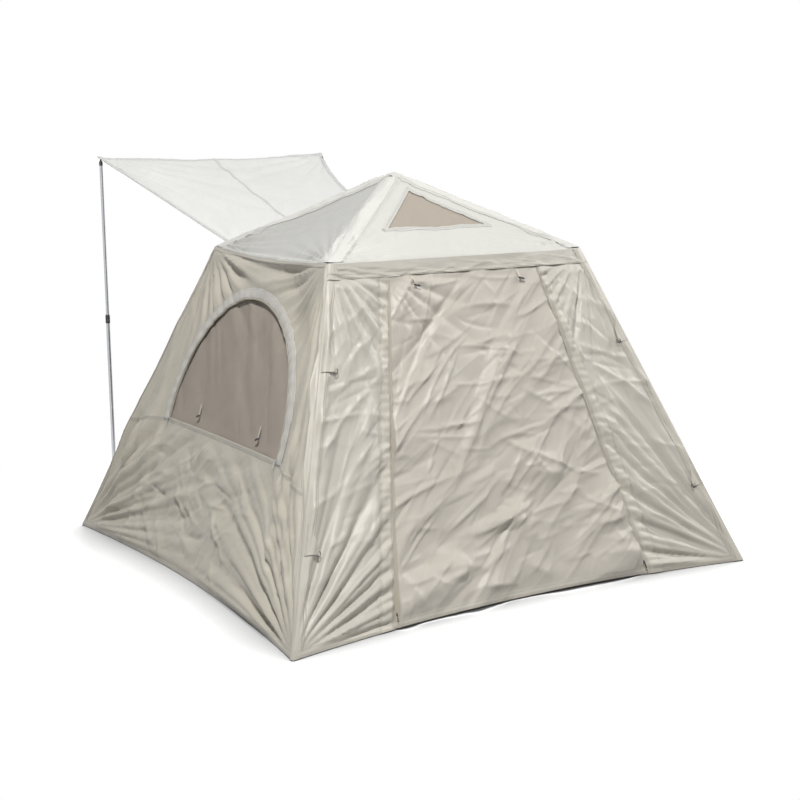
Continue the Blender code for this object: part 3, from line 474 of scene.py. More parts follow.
def endFolds(side, across, share):
    # the panels beside a doorway: folds that fan from the foot and the eave, and slanting creases
    seed = 3.0 if side == "front" else 11.0
    hand = np.sign(across)
    x = np.abs(across) * halfSizes(side, share)[0]
    y = share * wallSlope
    corners = {"foot": (tent["baseWidth"] / 2.0, 0.0), "eave": (tent["eaveWidth"] / 2.0, wallSlope)}
    folds = cornerFans(x, y, endFans, corners, seed, hand)
    folds += 0.0035 * latticeNoise(x / 0.110, y / 0.24 + 2.0 * hand, seed + 9)
    for *row, step in endCreases:
        folds += creases(x, y, *row, int(seed) + step)
    folds += 0.0018 * crumple(x, y + 2.0 * hand, 118.0, 0.28, 0.085, 0.011, seed + 7.0)
    fade = edgeFade(np.abs(across), doorwayShare - 0.004, 1.0, 0.030) * edgeFade(share, 0.0, seamShare, 0.022)
    if side == "back":
        # flatter where the closed back door lies on it
        covered = np.clip((0.80 - np.abs(across)) / 0.12, 0.0, 1.0) * np.clip(share / 0.10, 0.0, 1.0)
        fade = fade * (1.0 - 0.88 * covered)
    return folds * fade + 0.0006


doorCreases = (
    (30, (-0.62, 0.50, 0.15, 1.35), 50.0, 6.0, 0.300, 0.0240, 0.0150, 27),
    (22, (-0.62, 0.62, 0.10, 0.85), 27.0, 9.0, 0.200, 0.0240, 0.0150, 30),
    (90, (-0.62, 0.62, 0.10, 1.35), 10.0, 13.0, 0.095, 0.0115, 0.0076, 46),
    (60, (-0.62, 0.62, 0.10, 1.35), 48.0, 9.0, 0.150, 0.0110, 0.0086, 47),
    (16, (-0.62, 0.62, 0.00, 0.50), 22.0, 26.0, 0.150, 0.0550, 0.0260, 31),
    (16, (0.00, 0.55, 0.30, 1.20), -38.0, 12.0, 0.100, 0.0160, 0.0075, 33),
    (40, (-0.10, 0.62, 0.15, 1.10), 6.0, 14.0, 0.055, 0.0140, 0.0065, 36),
    (26, (-0.62, 0.62, 0.00, 0.25), 40.0, 45.0, 0.060, 0.0220, 0.0120, 39),
)


def doorFolds(across, share):
    # the slack door panel: slanting folds and creases, fuller low down, with a roll above the hem
    x = across * halfSizes("front", share)[0]
    y = share * wallSlope
    low = 1.0 - share
    folds = 0.0120 * low * (1.0 - (across / doorwayShare) ** 2)
    folds += (0.0030 + 0.0100 * low ** 2) * stretched(x, y, 42.0, 0.60, 0.150, 21)
    folds += (0.0020 + 0.0090 * low ** 3) * stretched(x, y, 15.0, 0.30, 0.120, 24)
    for row in doorCreases:
        folds += creases(x, y, *row)
    folds += 0.0022 * crumple(x, y, 40.0, 0.30, 0.090, 0.011, 48.0)
    folds += 0.0060 * fan(x, y, (-doorwayShare * 0.65, wallSlope * seamShare), 22.0, 0.40, 38.0, 0.15)
    folds += 0.0030 * latticeNoise(x / 0.055, 0.5, 40) * np.exp(-low / 0.10)
    folds += 0.0090 * np.exp(-((y - 0.075) / 0.045) ** 2) * (0.8 + 0.6 * latticeNoise(x / 0.16, 0.3, 43))
    fade = edgeFade(across, -doorwayShare, doorwayShare, 0.020) * edgeFade(share, -0.05, seamShare, 0.022)
    return folds * fade


sideFans = (
    (0.0240, "foot", 31.0, 1.05, 1.0, 0.30),
    (0.0230, "eave", 26.0, 0.75, 3.0, 0.30),
    (0.0105, "foot", 80.0, 1.00, 7.0, 0.46),
    (0.0080, "eave", 60.0, 0.55, 9.0, 0.34),
)
# below the sill, and between the window's arch and the eave
lowCreases = (
    (60, (-0.65, 0.65, 0.05, 0.50), 35.0, 30.0, 0.070, 0.016, 0.0150, 1),
    (50, (-0.65, 0.65, 0.05, 0.50), -40.0, 20.0, 0.060, 0.013, 0.0120, 2),
)
archCreases = ((26, (-0.60, 0.60, 0.95, 1.40), 90.0, 32.0, 0.100, 0.016, 0.0080, 5),)


def sideFolds(side, across, share):
    # one field for a whole side wall, so that its two panels meet
    seed = 41.0 if side == "left" else 57.0
    half = halfSizes(side, share)[0]
    x = across * half
    y = share * sideSlope
    folds = 0.0 * x
    for hand in (-1.0, 1.0):
        corners = {"foot": (hand * tent["baseDepth"] / 2.0, 0.0), "eave": (hand * tent["eaveDepth"] / 2.0, sideSlope)}
        folds = folds + cornerFans(x, y, sideFans, corners, seed, hand)
    # the front corner's pleats climb past the sill; the middle below it is crumpled
    seam = 1.5 * sillShare(side, across)
    frontHand = 1.0 if side == "left" else -1.0
    low = np.clip((seam - y) / 0.10, 0.0, 1.0) * np.exp(-((x + 0.18 * frontHand) / 0.55) ** 4)
    for *row, step in lowCreases:
        folds += low * creases(x, y, *row, int(seed) + step)
    folds += (0.0008 + 0.0016 * low) * crumple(x, y, 28.0, 0.150, 0.060, 0.011, seed + 11.0)
    # the hollow between the window and the front corner
    folds -= 0.0460 * np.exp(-((x * frontHand - half + 0.27) / 0.14) ** 2 - ((y - 1.06) / 0.32) ** 2)
    for hand in (-1, 1):
        reach = sorted((hand * 0.95, hand * 0.60))
        slant = 90.0 + hand * 16.0
        folds += creases(x, y, 16, (*reach, 0.35, 1.35), slant, 7.0, 0.30, 0.030, 0.0240, int(seed) + 3 + hand)
        folds += creases(x, y, 26, (*reach, 0.30, 1.40), slant, 9.0, 0.17, 0.015, 0.0130, int(seed) + 8 + hand)
    for *row, step in archCreases:
        folds += creases(x, y, *row, int(seed) + step)
    folds += 0.0060 * np.exp(-np.abs(y - seam) / 0.07) * latticeNoise(x / 0.050, 0.3, seed + 20)
    fade = edgeFade(across, -1.0, 1.0, 0.026) * edgeFade(share, 0.0, 1.0, 0.022)
    # the back corner is drawn straight beside the window
    nearBack = np.clip((-across * frontHand - 0.66) / 0.16, 0.0, 1.0)
    fade *= 1.0 - 0.62 * np.exp(-((share - 0.66) / 0.24) ** 4) * nearBack
    return folds * fade * windowCalm(x, share) + 0.0006


def windowCalm(x, share):
    # the sewn band keeps the cloth flatter over the window
    height = lerp(tent["hemHeight"], tent["eaveHeight"], share)
    rise = np.maximum(0.0, height - windowSizes["sill"])
    away = np.hypot(x / (windowSizes["halfWidth"] + 0.03), rise / (windowSizes["rise"] + 0.03))
    below = np.clip((windowSizes["sill"] - height) / 0.06, 0.0, 1.0)
    return lerp(np.clip((away - 0.97) / 0.22, 0.16, 1.0), 1.0, below)


roofSeeds = {"front": 71, "right": 75, "back": 79, "left": 83}
roofFans = ((0.0060, "eave", 24.0, 0.42, 1.0, 0.14), (0.0130, "eave", 44.0, 0.34, 3.0, 0.18))


def roofFolds(side, across, share):
    # taut roof cloth: it sinks a little between the hips and is puckered along them
    seed = roofSeeds[side]
    halves = (tent["eaveWidth"] / 2.0, tent["eaveDepth"] / 2.0)
    half, away = halves if isEnd(side) else halves[::-1]
    x = across * half * (1.0 - share)
    y = share * math.hypot(away, tent["peakHeight"] - tent["eaveHeight"])
    sink = -0.012 * (1.0 - across ** 2) * np.clip(4.0 * share * (1.0 - share), 0.0, 1.0)
    folds = 0.0 * x
    for hand in (-1.0, 1.0):
        folds = folds + cornerFans(x, y, roofFans, {"eave": (hand * half, 0.0)}, seed, hand)
    folds += 0.0050 * ridge(stretched(x, y, 72.0, 0.32, 0.060, seed + 2))
    folds += 0.0030 * ridge(stretched(x, y, -66.0, 0.26, 0.085, seed + 5))
    folds += 0.0030 * latticeNoise(x / 0.13, y / 0.20, seed + 4)
    folds += 0.0018 * crumple(x, y, 60.0, 0.22, 0.090, 0.012, seed + 8.0)
    fade = edgeFade(across, -1.0, 1.0, 0.08) * edgeFade(share, -0.02, 1.0, 0.06)
    return (sink + folds) * fade


def wallSurface(side):
    return folded(wallPoint, endFolds if isEnd(side) else sideFolds, side)


def roofSurface(side):
    return folded(roofPoint, roofFolds, side)


# making cloth pieces

def selectOnly(piece):
    bpy.ops.object.select_all(action="DESELECT")
    piece.select_set(True)
    bpy.context.view_layer.objects.active = piece


def newPiece(name, add, **settings):
    # a primitive of its own, with nothing else selected
    bpy.ops.object.select_all(action="DESELECT")
    add(**settings)
    piece = bpy.context.object
    piece.name = name
    return piece


def finishPiece(piece, material, smoothBelow):
    piece.data.materials.append(finishes[material])
    selectOnly(piece)
    bpy.ops.object.shade_smooth_by_angle(angle=math.radians(smoothBelow))
    return piece


def applyAll(piece):
    selectOnly(piece)
    for modifier in list(piece.modifiers):
        bpy.ops.object.modifier_apply(modifier=modifier.name)


def areaOf(points, columns, rows):
    # the area of a grid of points, by its quads
    grid = points.reshape(rows + 1, columns + 1, 3)
    acrossEdge = grid[:, 1:] - grid[:, :-1]
    upEdge = grid[1:] - grid[:-1]
    return float(np.linalg.norm(np.cross(acrossEdge[:-1], upEdge[:, :-1]), axis=2).sum())


def spotOn(surface, *place):
    # one point of a surface that takes arrays
    return surface(*(np.array([value]) for value in place))[0]


def span(surface, first, second):
    return np.linalg.norm(spotOn(surface, *second) - spotOn(surface, *first))


def editFaces(piece, test=None):
    # edit mode, with all faces selected or only those that pass the test
    selectOnly(piece)
    bpy.ops.object.mode_set(mode="EDIT")
    bpy.ops.mesh.select_all(action="DESELECT" if test else "SELECT")
    if test:
        bpy.ops.mesh.select_mode(type="FACE")
        bpy.ops.object.mode_set(mode="OBJECT")
        for polygon in piece.data.polygons:
            polygon.select = test(polygon)
        bpy.ops.object.mode_set(mode="EDIT")


def turnOver(piece):
    # a sheet laid the other way round faces inwards, so its faces are flipped
    editFaces(piece)
    bpy.ops.mesh.normals_make_consistent(inside=False)
    bpy.ops.object.mode_set(mode="OBJECT")


def layCloth(name, surface, columns, rows, material, thickness=tent["thickness"], seamsUp=False, flip=False):
    # surface(across, up) gives the outer face's points; the sheet gets its thickness inwards
    piece = newPiece(name, bpy.ops.mesh.primitive_grid_add, x_subdivisions=columns, y_subdivisions=rows, size=2.0)
    flat = np.zeros(len(piece.data.vertices) * 3)
    piece.data.vertices.foreach_get("co", flat)
    across, up = flat[0::3].copy(), (flat[1::3] + 1.0) / 2.0
    points = surface(across, up)
    piece.data.vertices.foreach_set("co", points.ravel())
    wide, wideTop = span(surface, (-1.0, 0.0), (1.0, 0.0)), span(surface, (-1.0, 1.0), (1.0, 1.0))
    tall, tallSide = span(surface, (0.0, 0.0), (0.0, 1.0)), span(surface, (0.6, 0.0), (0.6, 1.0))
    halfWidths = lerp(wide, wideTop, up) / 2.0
    spots = np.zeros(len(piece.data.loops), int)
    piece.data.loops.foreach_get("vertex_index", spots)
    # one map in metres, and one with the distance from the seams
    mapped = np.stack((across * halfWidths, up * tall), axis=1)[spots]
    piece.data.uv_layers[0].data.foreach_set("uv", mapped.ravel())
    if seamsUp:
        edge = (up * tall, (1.0 - np.abs(across)) * halfWidths)
    else:
        edge = (across * halfWidths, np.minimum(up, 1.0 - up) * max(tall, tallSide))
    seams = piece.data.uv_layers.new(name="seams")
    seams.data.foreach_set("uv", np.stack(edge, axis=1)[spots].ravel())
    piece.data.update()
    solid = piece.modifiers.new("thickness", "SOLIDIFY")
    solid.thickness = thickness
    solid.offset = -1.0
    applyAll(piece)
    piece["flatSize"] = [float(max(wide, wideTop)), float(tall)]
    piece["flatArea"] = areaOf(points, columns, rows)
    finishPiece(piece, material, 60.0)
    if flip:
        turnOver(piece)
    return piece


def carve(piece, cutter, operation):
    # cuts a piece by a bar, which is then thrown away
    cut = piece.modifiers.new("cut", "BOOLEAN")
    cut.operation = operation
    cut.solver = "EXACT"
    cut.object = cutter
    applyAll(piece)
    bpy.data.objects.remove(cutter, do_unlink=True)


def dress(piece, body, replaced=(), flattens=True):
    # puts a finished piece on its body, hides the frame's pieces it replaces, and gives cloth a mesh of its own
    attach(piece, body)
    if replaced:
        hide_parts(*replaced)
    if flattens:
        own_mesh(piece)
    return piece


def declareSheet(piece):
    # works out the size of the cloth laid flat from its stored size and area; the sizes are not used, and the piece
    # comes back unchanged
    width, length = piece["flatSize"]
    area = piece["flatArea"]
    length = max(length, 0.0105)
    width = max(width, area / length * 1.01)
    if area < 0.35 * width * length:
        width = area / length / 0.6
    return piece


def sew(piece, restsOn, body="shell", slot="wall_cloth", replaced=(), held="stretched", flattens=True):
    return dress(declareSheet(piece), body, replaced, flattens)


def wordOf(side, hand):
    # the tent's own left or right for a hand of one side
    return "Left" if hand * alongOut[side][0][0] < 0.0 else "Right"


# wall panels

panelSizes = {"endGrid": (76, 190), "sideGrid": (280, 88), "topGap": 0.0003, "eaveGap": 0.002}
# what the window leaves of the upper panel's area
holeShare = 0.62


def endPanel(side, hand):
    low, high = sorted((hand * doorwayShare, hand))
    top = seamShare - panelSizes["topGap"] / tent["eaveHeight"]
    surface = wallSurface(side)
    word = wordOf(side, hand)

    def place(across, up):
        return surface(lerp(low, high, (across + 1.0) / 2.0), up * top)

    panel = layCloth(f"{side}Wall{word}Cloth", place, *panelSizes["endGrid"], "frontCloth")
    sew(panel, ["roof_" + side], replaced=[f"{side}_wall_{word.lower()}"])


for side in ("front", "back"):
    for hand in (-1.0, 1.0):
        endPanel(side, hand)
print("end walls made")


def windowCutter(name, side, lap, drop):
    # an elliptical bar through the wall, centred on the sill
    along, out = alongOut[side]
    reach = tent["baseWidth"] / 2.0 - tent["eaveWidth"] / 2.0 + 0.2
    cutter = newPiece(name, bpy.ops.mesh.primitive_cylinder_add, vertices=96, radius=1.0, depth=reach)
    middle = Vector(out * (tent["eaveWidth"] / 2.0 - 0.1 + reach / 2.0) + upward * (windowSizes["sill"] - drop))
    turn = Matrix((Vector(along), Vector(np.cross(out, along)), Vector(out))).transposed().to_4x4()
    size = Matrix.Diagonal((windowSizes["halfWidth"] + lap, windowSizes["rise"] + lap + drop, 1.0, 1.0))
    cutter.data.transform(Matrix.Translation(middle) @ turn @ size)
    return cutter


def sideWalls(side):
    word = side.capitalize()
    surface = wallSurface(side)
    gap = panelSizes["topGap"] / tent["eaveHeight"]
    top = 1.0 - panelSizes["eaveGap"] / tent["eaveHeight"]

    def lower(across, up):
        return surface(across, up * (sillShare(side, across) - gap))

    def upper(across, up):
        return surface(across, lerp(sillShare(side, across) + gap, top, up))

    low = layCloth(f"lower{word}Cloth", lower, *panelSizes["sideGrid"], "sideCloth")
    sew(low, [f"{side}_wall_upper"], replaced=[f"{side}_wall_lower"])
    high = layCloth(f"upper{word}Cloth", upper, *panelSizes["sideGrid"], "sideCloth")
    high["flatArea"] *= holeShare
    carve(high, windowCutter(f"{side}Hole", side, 0.0, 0.02), "DIFFERENCE")
    sew(high, [f"roof_{side}"], replaced=[f"{side}_wall_upper"])


for side in ("left", "right"):
    sideWalls(side)
print("side walls made")


# strips of cloth sewn along the panels

# each strip's lift above the cloth, the puff of its middle and the size of its puckers
stripShapes = {
    "flap": (0.0016, 0.0030, 0.0012),
    "hem": (0.0010, 0.0012, 0.0006),
    "sillTape": (0.0010, 0.0016, 0.0005),
    "eaveTape": (0.0014, 0.0010, 0.0003),
    "band": (0.0014, 0.0050, 0.0022),
    "windowZip": (0.0052, 0.0016, 0.0),
    "valanceHem": (0.0008, 0.0014, 0.0004),
    "eaveHem": (0.0008, 0.0016, 0.0005),
    "doorHem": (0.0008, 0.0014, 0.0005),
    "doorZip": (0.0006, 0.0012, 0.0),
    "awningHem": (0.0007, 0.0014, 0.0004),
}
stripThickness = 0.0009


def addStrip(name, surface, edges, grid, material, shape, restsOn, flip=False, **sewing):
    # each of the two edges gives (across, share) for s from 0 to 1
    lift, puff, pucker = stripShapes.get(shape, shape)
    start, end = edges

    def place(along, up):
        s = (along + 1.0) / 2.0
        first, second = start(s), end(s)
        across = lerp(first[0], second[0], up)
        share = lerp(first[1], second[1], up)
        crown = 1.0 - (2.0 * up - 1.0) ** 4
        waves = pucker * np.sin(s * grid[0] * 1.3 + 3.0 * np.sin(s * 17.0)) * crown
        return surface(across, share, lift + puff * crown + waves)

    sew(layCloth(name, place, *grid, material, stripThickness, flip=flip), restsOn, **sewing)


def level(across, share):
    # a strip's edge: numbers stay, and functions are asked
    def edge(s):
        first = across(s) if callable(across) else across + 0.0 * s
        second = share(s) if callable(share) else share + 0.0 * s
        return first, second

    return edge


def crosswise(reach, *shares):
    # edges straight across a panel, out to a share of its half width
    return [level(lambda s: reach * (2.0 * s - 1.0), share) for share in shares]


def upwards(top, *places):
    return [level(across, lambda s: top * s) for across in places]


def frontStrips(side):
    surface = wallSurface(side)
    for hand in (-1.0, 1.0):
        word = wordOf(side, hand)
        wall = [f"{side}_wall_{word.lower()}"]
        edges = upwards(seamShare - 0.003, *sorted((hand * 0.572, hand * 0.640)))
        addStrip(f"{side}Flap{word}", surface, edges, (200, 8), "hemCloth", "flap", wall)
        run = lambda s: lerp(hand * doorwayShare, hand * 0.995, s)
        edges = level(run, 0.0), level(run, 0.022)
        addStrip(f"{side}Hem{word}", surface, edges, (40, 5), "hemCloth", "hem", wall, hand < 0.0)


for side in ("front", "back"):
    frontStrips(side)


# the netting and the cover behind it: depth, waves and creases as (height, degrees, length, width, seed)
windowLayers = {
    "Net": {
        "low": -0.012, "depth": 0.0034, "wave": (0.0050, -58.0, 0.60, 0.075, 97), "back": 0.0050,
        "crease": (-0.0030, -64.0, 0.50, 0.060, 98), "fade": 0.05, "lap": 0.014, "drop": 0.010,
        "grid": (110, 60), "material": "netting", "thickness": 0.0005,
    },
    "Cover": {
        "low": 0.006, "depth": 0.0056, "wave": (0.0150, -58.0, 0.70, 0.085, 91), "back": 0.0310,
        "crease": (0.0050, -35.0, 0.45, 0.120, 94), "fade": 0.06, "lap": 0.022, "drop": 0.0,
        "grid": (90, 60), "material": "coverCloth", "thickness": 0.0009,
    },
}
# how far a layer reaches across and up, and what the arch leaves of its area
windowReach = (0.92, 0.985)
archShare = 0.53


def windowLayer(side, kind):
    layer = windowLayers[kind]

    def place(across, up):
        across = across * windowReach[0]
        share = lerp(shareAt(windowSizes["sill"] + layer["low"]), windowReach[1], up)
        x, y = across * halfSizes(side, share)[0], share * 1.4
        height, *wave = layer["wave"]
        sharp, *crease = layer["crease"]
        slack = height * stretched(x, y, *wave) - layer["back"] + sharp * ridge(stretched(x, y, *crease))
        slack *= edgeFade(share, shareAt(windowSizes["sill"]), 2.0, layer["fade"])
        return wallSurface(side)(across, share, slack - layer["depth"])

    piece = layCloth(f"window{kind}{side.capitalize()}", place, *layer["grid"], layer["material"],
                     layer["thickness"])
    piece["flatArea"] *= archShare
    carve(piece, windowCutter(f"{side}{kind}Trim", side, layer["lap"], layer["drop"]), "INTERSECT")
    return piece


def archEdge(side, radius):
    # an edge on the window's arch, grown by a margin
    def edge(s):
        angle = math.pi * s
        x = -(windowSizes["halfWidth"] + radius) * np.cos(angle)
        share = shareAt(windowSizes["sill"] + (windowSizes["rise"] + radius) * np.sin(angle) * 0.999 + 0.001)
        return x / halfSizes(side, share)[0], share

    return edge


def sideStrips(side):
    surface = wallSurface(side)
    word = side.capitalize()
    reach = lambda s: 0.985 * (2.0 * s - 1.0)
    sill = [level(reach, lambda s, m=margin: sillShare(side, reach(s)) + m) for margin in (-0.006, 0.009)]
    for name, edges, shape, wall in (
        ("Hem", crosswise(0.994, 0.0, 0.022), "hem", "lower"),
        ("SillTape", sill, "sillTape", "upper"),
        ("EaveTape", crosswise(0.98, 0.9890, 1.0004), "eaveTape", "upper"),
    ):
        addStrip(side + name, surface, edges, (150, 5), "hemCloth", shape, [f"{side}_wall_{wall}"])
    band, wall = f"windowBand{word}", [f"{side}_wall_upper"]
    edges = archEdge(side, windowSizes["band"]), archEdge(side, -0.003)
    addStrip(band, surface, edges, (150, 8), "bandCloth", "band", wall, True)
    edges = archEdge(side, 0.004), archEdge(side, -0.0035)
    addStrip(f"windowZip{word}", surface, edges, (160, 4), "zipTape", "windowZip", [band], True, slot="webbing")
    sew(windowLayer(side, "Net"), wall, slot="netting", replaced=[f"window_mesh_{side}"])
    node = f"window_cover_{side}"
    sew(windowLayer(side, "Cover"), [f"windowNet{word}"], node, replaced=[node], held="hung")


for side in ("left", "right"):
    sideStrips(side)
print("strips and windows made")


# strips that wrap a corner of the tent: across -1 is on the side wall and 1 on the end wall

def cornerSides(handX, handY):
    # the end and the flank that meet there, and the corner's across on each
    endSide = "front" if handY < 0.0 else "back"
    flank = "left" if handX < 0.0 else "right"
    return endSide, flank, handX * alongOut[endSide][0][0], handY * alongOut[flank][0][1]


def wrapCorner(across, ends, sides):
    points = np.where(column(across) > 0.0, ends, sides)
    return np.where(column(np.abs(across)) < 1e-6, (ends + sides) / 2.0, points)


sleeveSizes = {"endReach": (0.042, 0.050), "sideReach": 0.020, "lift": 0.0016, "crown": 0.0012, "inward": 0.0022}


def cornerSleeve(handX, handY):
    endSide, flank, endHand, flankHand = cornerSides(handX, handY)
    shareTop = 1.0 - panelSizes["eaveGap"] / tent["eaveHeight"]
    inward = np.array((-handX, -handY, 0.0)) * sleeveSizes["inward"]

    def place(across, up):
        share = up * shareTop
        reach = lerp(sleeveSizes["endReach"][1], sleeveSizes["endReach"][0], share)
        onEnd = np.clip(across, 0.0, 1.0) * reach
        onSide = np.clip(-across, 0.0, 1.0) * sleeveSizes["sideReach"]
        seam = 1.0 - np.abs(across) ** 6
        wave = 0.0010 * latticeNoise(across * 2.0, share * 26.0, 5.0 + handX + 2.0 * handY) * seam
        lift = sleeveSizes["lift"] + sleeveSizes["crown"] * seam + wave
        acrossEnd = endHand * (1.0 - onEnd / halfSizes(endSide, share)[0])
        acrossSide = flankHand * (1.0 - onSide / halfSizes(flank, share)[0])
        ends = wallSurface(endSide)(acrossEnd, share, lift)
        sides = wallSurface(flank)(acrossSide, share, lift)
        near = column(np.clip(1.0 - np.abs(across) / 0.35, 0.0, 1.0))
        return wrapCorner(across, ends, sides) + inward * near

    name = f"cornerSleeve{flank.capitalize()}{endSide.capitalize()}"
    sew(layCloth(name, place, 16, 130, "hemCloth", stripThickness, True, True), [f"{endSide}_wall_{flank}"])


for handX in (-1.0, 1.0):
    for handY in (-1.0, 1.0):
        cornerSleeve(handX, handY)
print("corner sleeves made")


# roof

roofSizes = {"columns": 120, "rows": 64, "valanceRows": 24, "bend": 0.006, "stripWidth": 0.06844}


def valanceFolds(side, across, share):
    # puckers of the valance, deepest at its left end
    x = across * halfSizes(side, share)[0]
    y = share * wallSlope
    down = np.clip((1.0 - share) * tent["eaveHeight"] / tent["valanceDrop"], 0.0, 1.0)
    waves = 0.0026 * latticeNoise(x / 0.045, down * 0.8, 13.0)
    waves += 0.0036 * ridge(stretched(x, 0.3 + y, -9.0, 0.22, 0.020, 17.0))
    waves += creases(x, y, 46, (-0.62, 0.62, 1.36, 1.44), 12.0, 16.0, 0.045, 0.009, 0.0042, 19)
    puckers = pleat(230.0 * (y + 0.20 * x) + 2.0 * latticeNoise(x / 0.06, y / 0.03, 15.0))
    waves += 0.0060 * np.exp(-np.abs(across + 0.94) / 0.16) * puckers
    return waves * edgeFade(across, -1.0, 1.0, 0.012) * down + 0.0012 * down


def endRoof(side):
    valanceRows, bend = roofSizes["valanceRows"], roofSizes["bend"]
    rows = roofSizes["rows"] + valanceRows
    valance = folded(wallPoint, valanceFolds, side)
    slope = roofSurface(side)

    def place(across, up):
        row = np.rint(up * rows)
        share = lerp(seamShare, 1.0 - bend / 4.0, np.clip(row / (valanceRows - 1.0), 0.0, 1.0))
        climb = lerp(bend, 1.0, np.clip((row - valanceRows) / roofSizes["rows"], 0.0, 1.0))
        return np.where(column(row) < valanceRows, valance(across, share), slope(across, climb))

    face = layCloth(f"{side}RoofCloth", place, roofSizes["columns"], rows, "roofCloth")
    # the valance is wall cloth, in a darker copy of it that paints the shade under the eave
    face.data.materials.append(finishes["valanceCloth"])
    for polygon in face.data.polygons:
        polygon.material_index = 1 if polygon.center.z < tent["eaveHeight"] - 0.002 else 0
    if side == "front":
        carve(face, skylightCutter("skylightHole", 0.0), "DIFFERENCE")
    sew(face, ["hub_body"], slot="roof_cloth", replaced=[f"roof_{side}"])
    edges = crosswise(0.995, seamShare - 0.0005, seamShare + 0.010)
    name, roof = f"{side}ValanceHem", [f"roof_{side}"]
    addStrip(name, valance, edges, (160, 5), "hemCloth", "valanceHem", roof, slot="roof_cloth")


skylightSizes = {"top": 0.118, "base": 0.340, "half": 0.245, "depth": 0.0032}


def skylightCutter(name, lap):
    # an upright three-sided bar over the netting triangle
    top, base = skylightSizes["top"] - 1.5 * lap, skylightSizes["base"] + lap
    half = skylightSizes["half"] + 2.0 * lap
    cutter = newPiece(name, bpy.ops.mesh.primitive_cylinder_add, vertices=3, radius=1.0, depth=0.6)
    for vertex in cutter.data.vertices:
        apex = abs(vertex.co.x) < 0.1
        vertex.co.x = 0.0 if apex else math.copysign(half, vertex.co.x)
        vertex.co.y = -top if apex else -base
        vertex.co.z = vertex.co.z + 1.5
    return cutter


def sideRoof(side):
    surface = roofSurface(side)
    face = layCloth(f"{side}RoofCloth", surface, roofSizes["columns"], roofSizes["rows"], "roofSideCloth")
    sew(face, ["hub_body"], slot="roof_cloth", replaced=[f"roof_{side}"])
    edges = crosswise(0.99, 0.001, 0.034)
    name, roof = f"{side}EaveHem", [f"roof_{side}"]
    addStrip(name, surface, edges, (120, 5), "roofHemCloth", "eaveHem", roof, slot="roof_cloth")


for side in ("front", "back"):
    endRoof(side)
for side in ("left", "right"):
    sideRoof(side)


def hipStrip(handX, handY):
    # a strip folded over one hip, from the eave to the peak, with puckers along both edges
    endSide, flank, endHand, flankHand = cornerSides(handX, handY)
    seed = 101.0 + 3.0 * handX + 7.0 * handY

    def acrossOf(hand, width, share, along):
        # how far the strip reaches on one face, where that face is half its width at the share
        half = width / 2.0 * (1.0 - share * 0.95) + 0.001
        return hand * (1.0 - np.clip(along, 0.0, 1.0) * np.minimum(roofSizes["stripWidth"], half * 0.97) / half)

    def place(across, up):
        share = lerp(0.004, 0.992, up)
        seam = 1.0 - np.abs(across) ** 6
        wave = 0.0012 * latticeNoise(across * 3.0, share * 30.0, seed)
        wave = wave + 0.0020 * pleat(7.0 * across + 4.0 * latticeNoise(across * 1.5, share * 5.0, seed + 2.0))
        lift = 0.0015 + 0.0022 * seam + wave * seam
        acrossEnd = acrossOf(endHand, tent["eaveWidth"], share, across)
        acrossSide = acrossOf(flankHand, tent["eaveDepth"], share, -across)
        ends = roofSurface(endSide)(acrossEnd, share, lift)
        sides = roofSurface(flank)(acrossSide, share, lift)
        return wrapCorner(across, ends, sides)

    name = f"hipStrip{flank.capitalize()}{endSide.capitalize()}"
    strip = layCloth(name, place, 24, 150, "roofHemCloth", stripThickness, True, True)
    sew(strip, [f"roof_{endSide}"], slot="roof_cloth", replaced=["roof_hip_strips"])


for handX in (-1.0, 1.0):
    for handY in (-1.0, 1.0):
        hipStrip(handX, handY)


def capPoint(across, up):
    # the round cap over the peak, with a turned-down edge
    angle = math.pi * across
    radius = 0.0355 * (1.0 - up) + 0.0015
    steepest = np.maximum(np.abs(np.sin(angle)) / tent["eaveDepth"], np.abs(np.cos(angle)) / tent["eaveWidth"])
    fall = 2.0 * steepest * (tent["peakHeight"] - tent["eaveHeight"]) * radius
    dimple = 0.003575 * np.exp(-(radius / 0.020) ** 2)
    edge = 0.0020 * np.exp(-((radius - 0.037) / 0.003) ** 2)
    height = tent["peakHeight"] + 0.0062 - fall - dimple - edge
    return np.stack((radius * np.cos(angle), radius * np.sin(angle), height), axis=1)


cap = layCloth("peakCap", capPoint, 64, 14, "roofCloth", 0.0012)
sew(cap, ["hipStripLeftFront"], slot="roof_cloth", replaced=["hub_cap"])


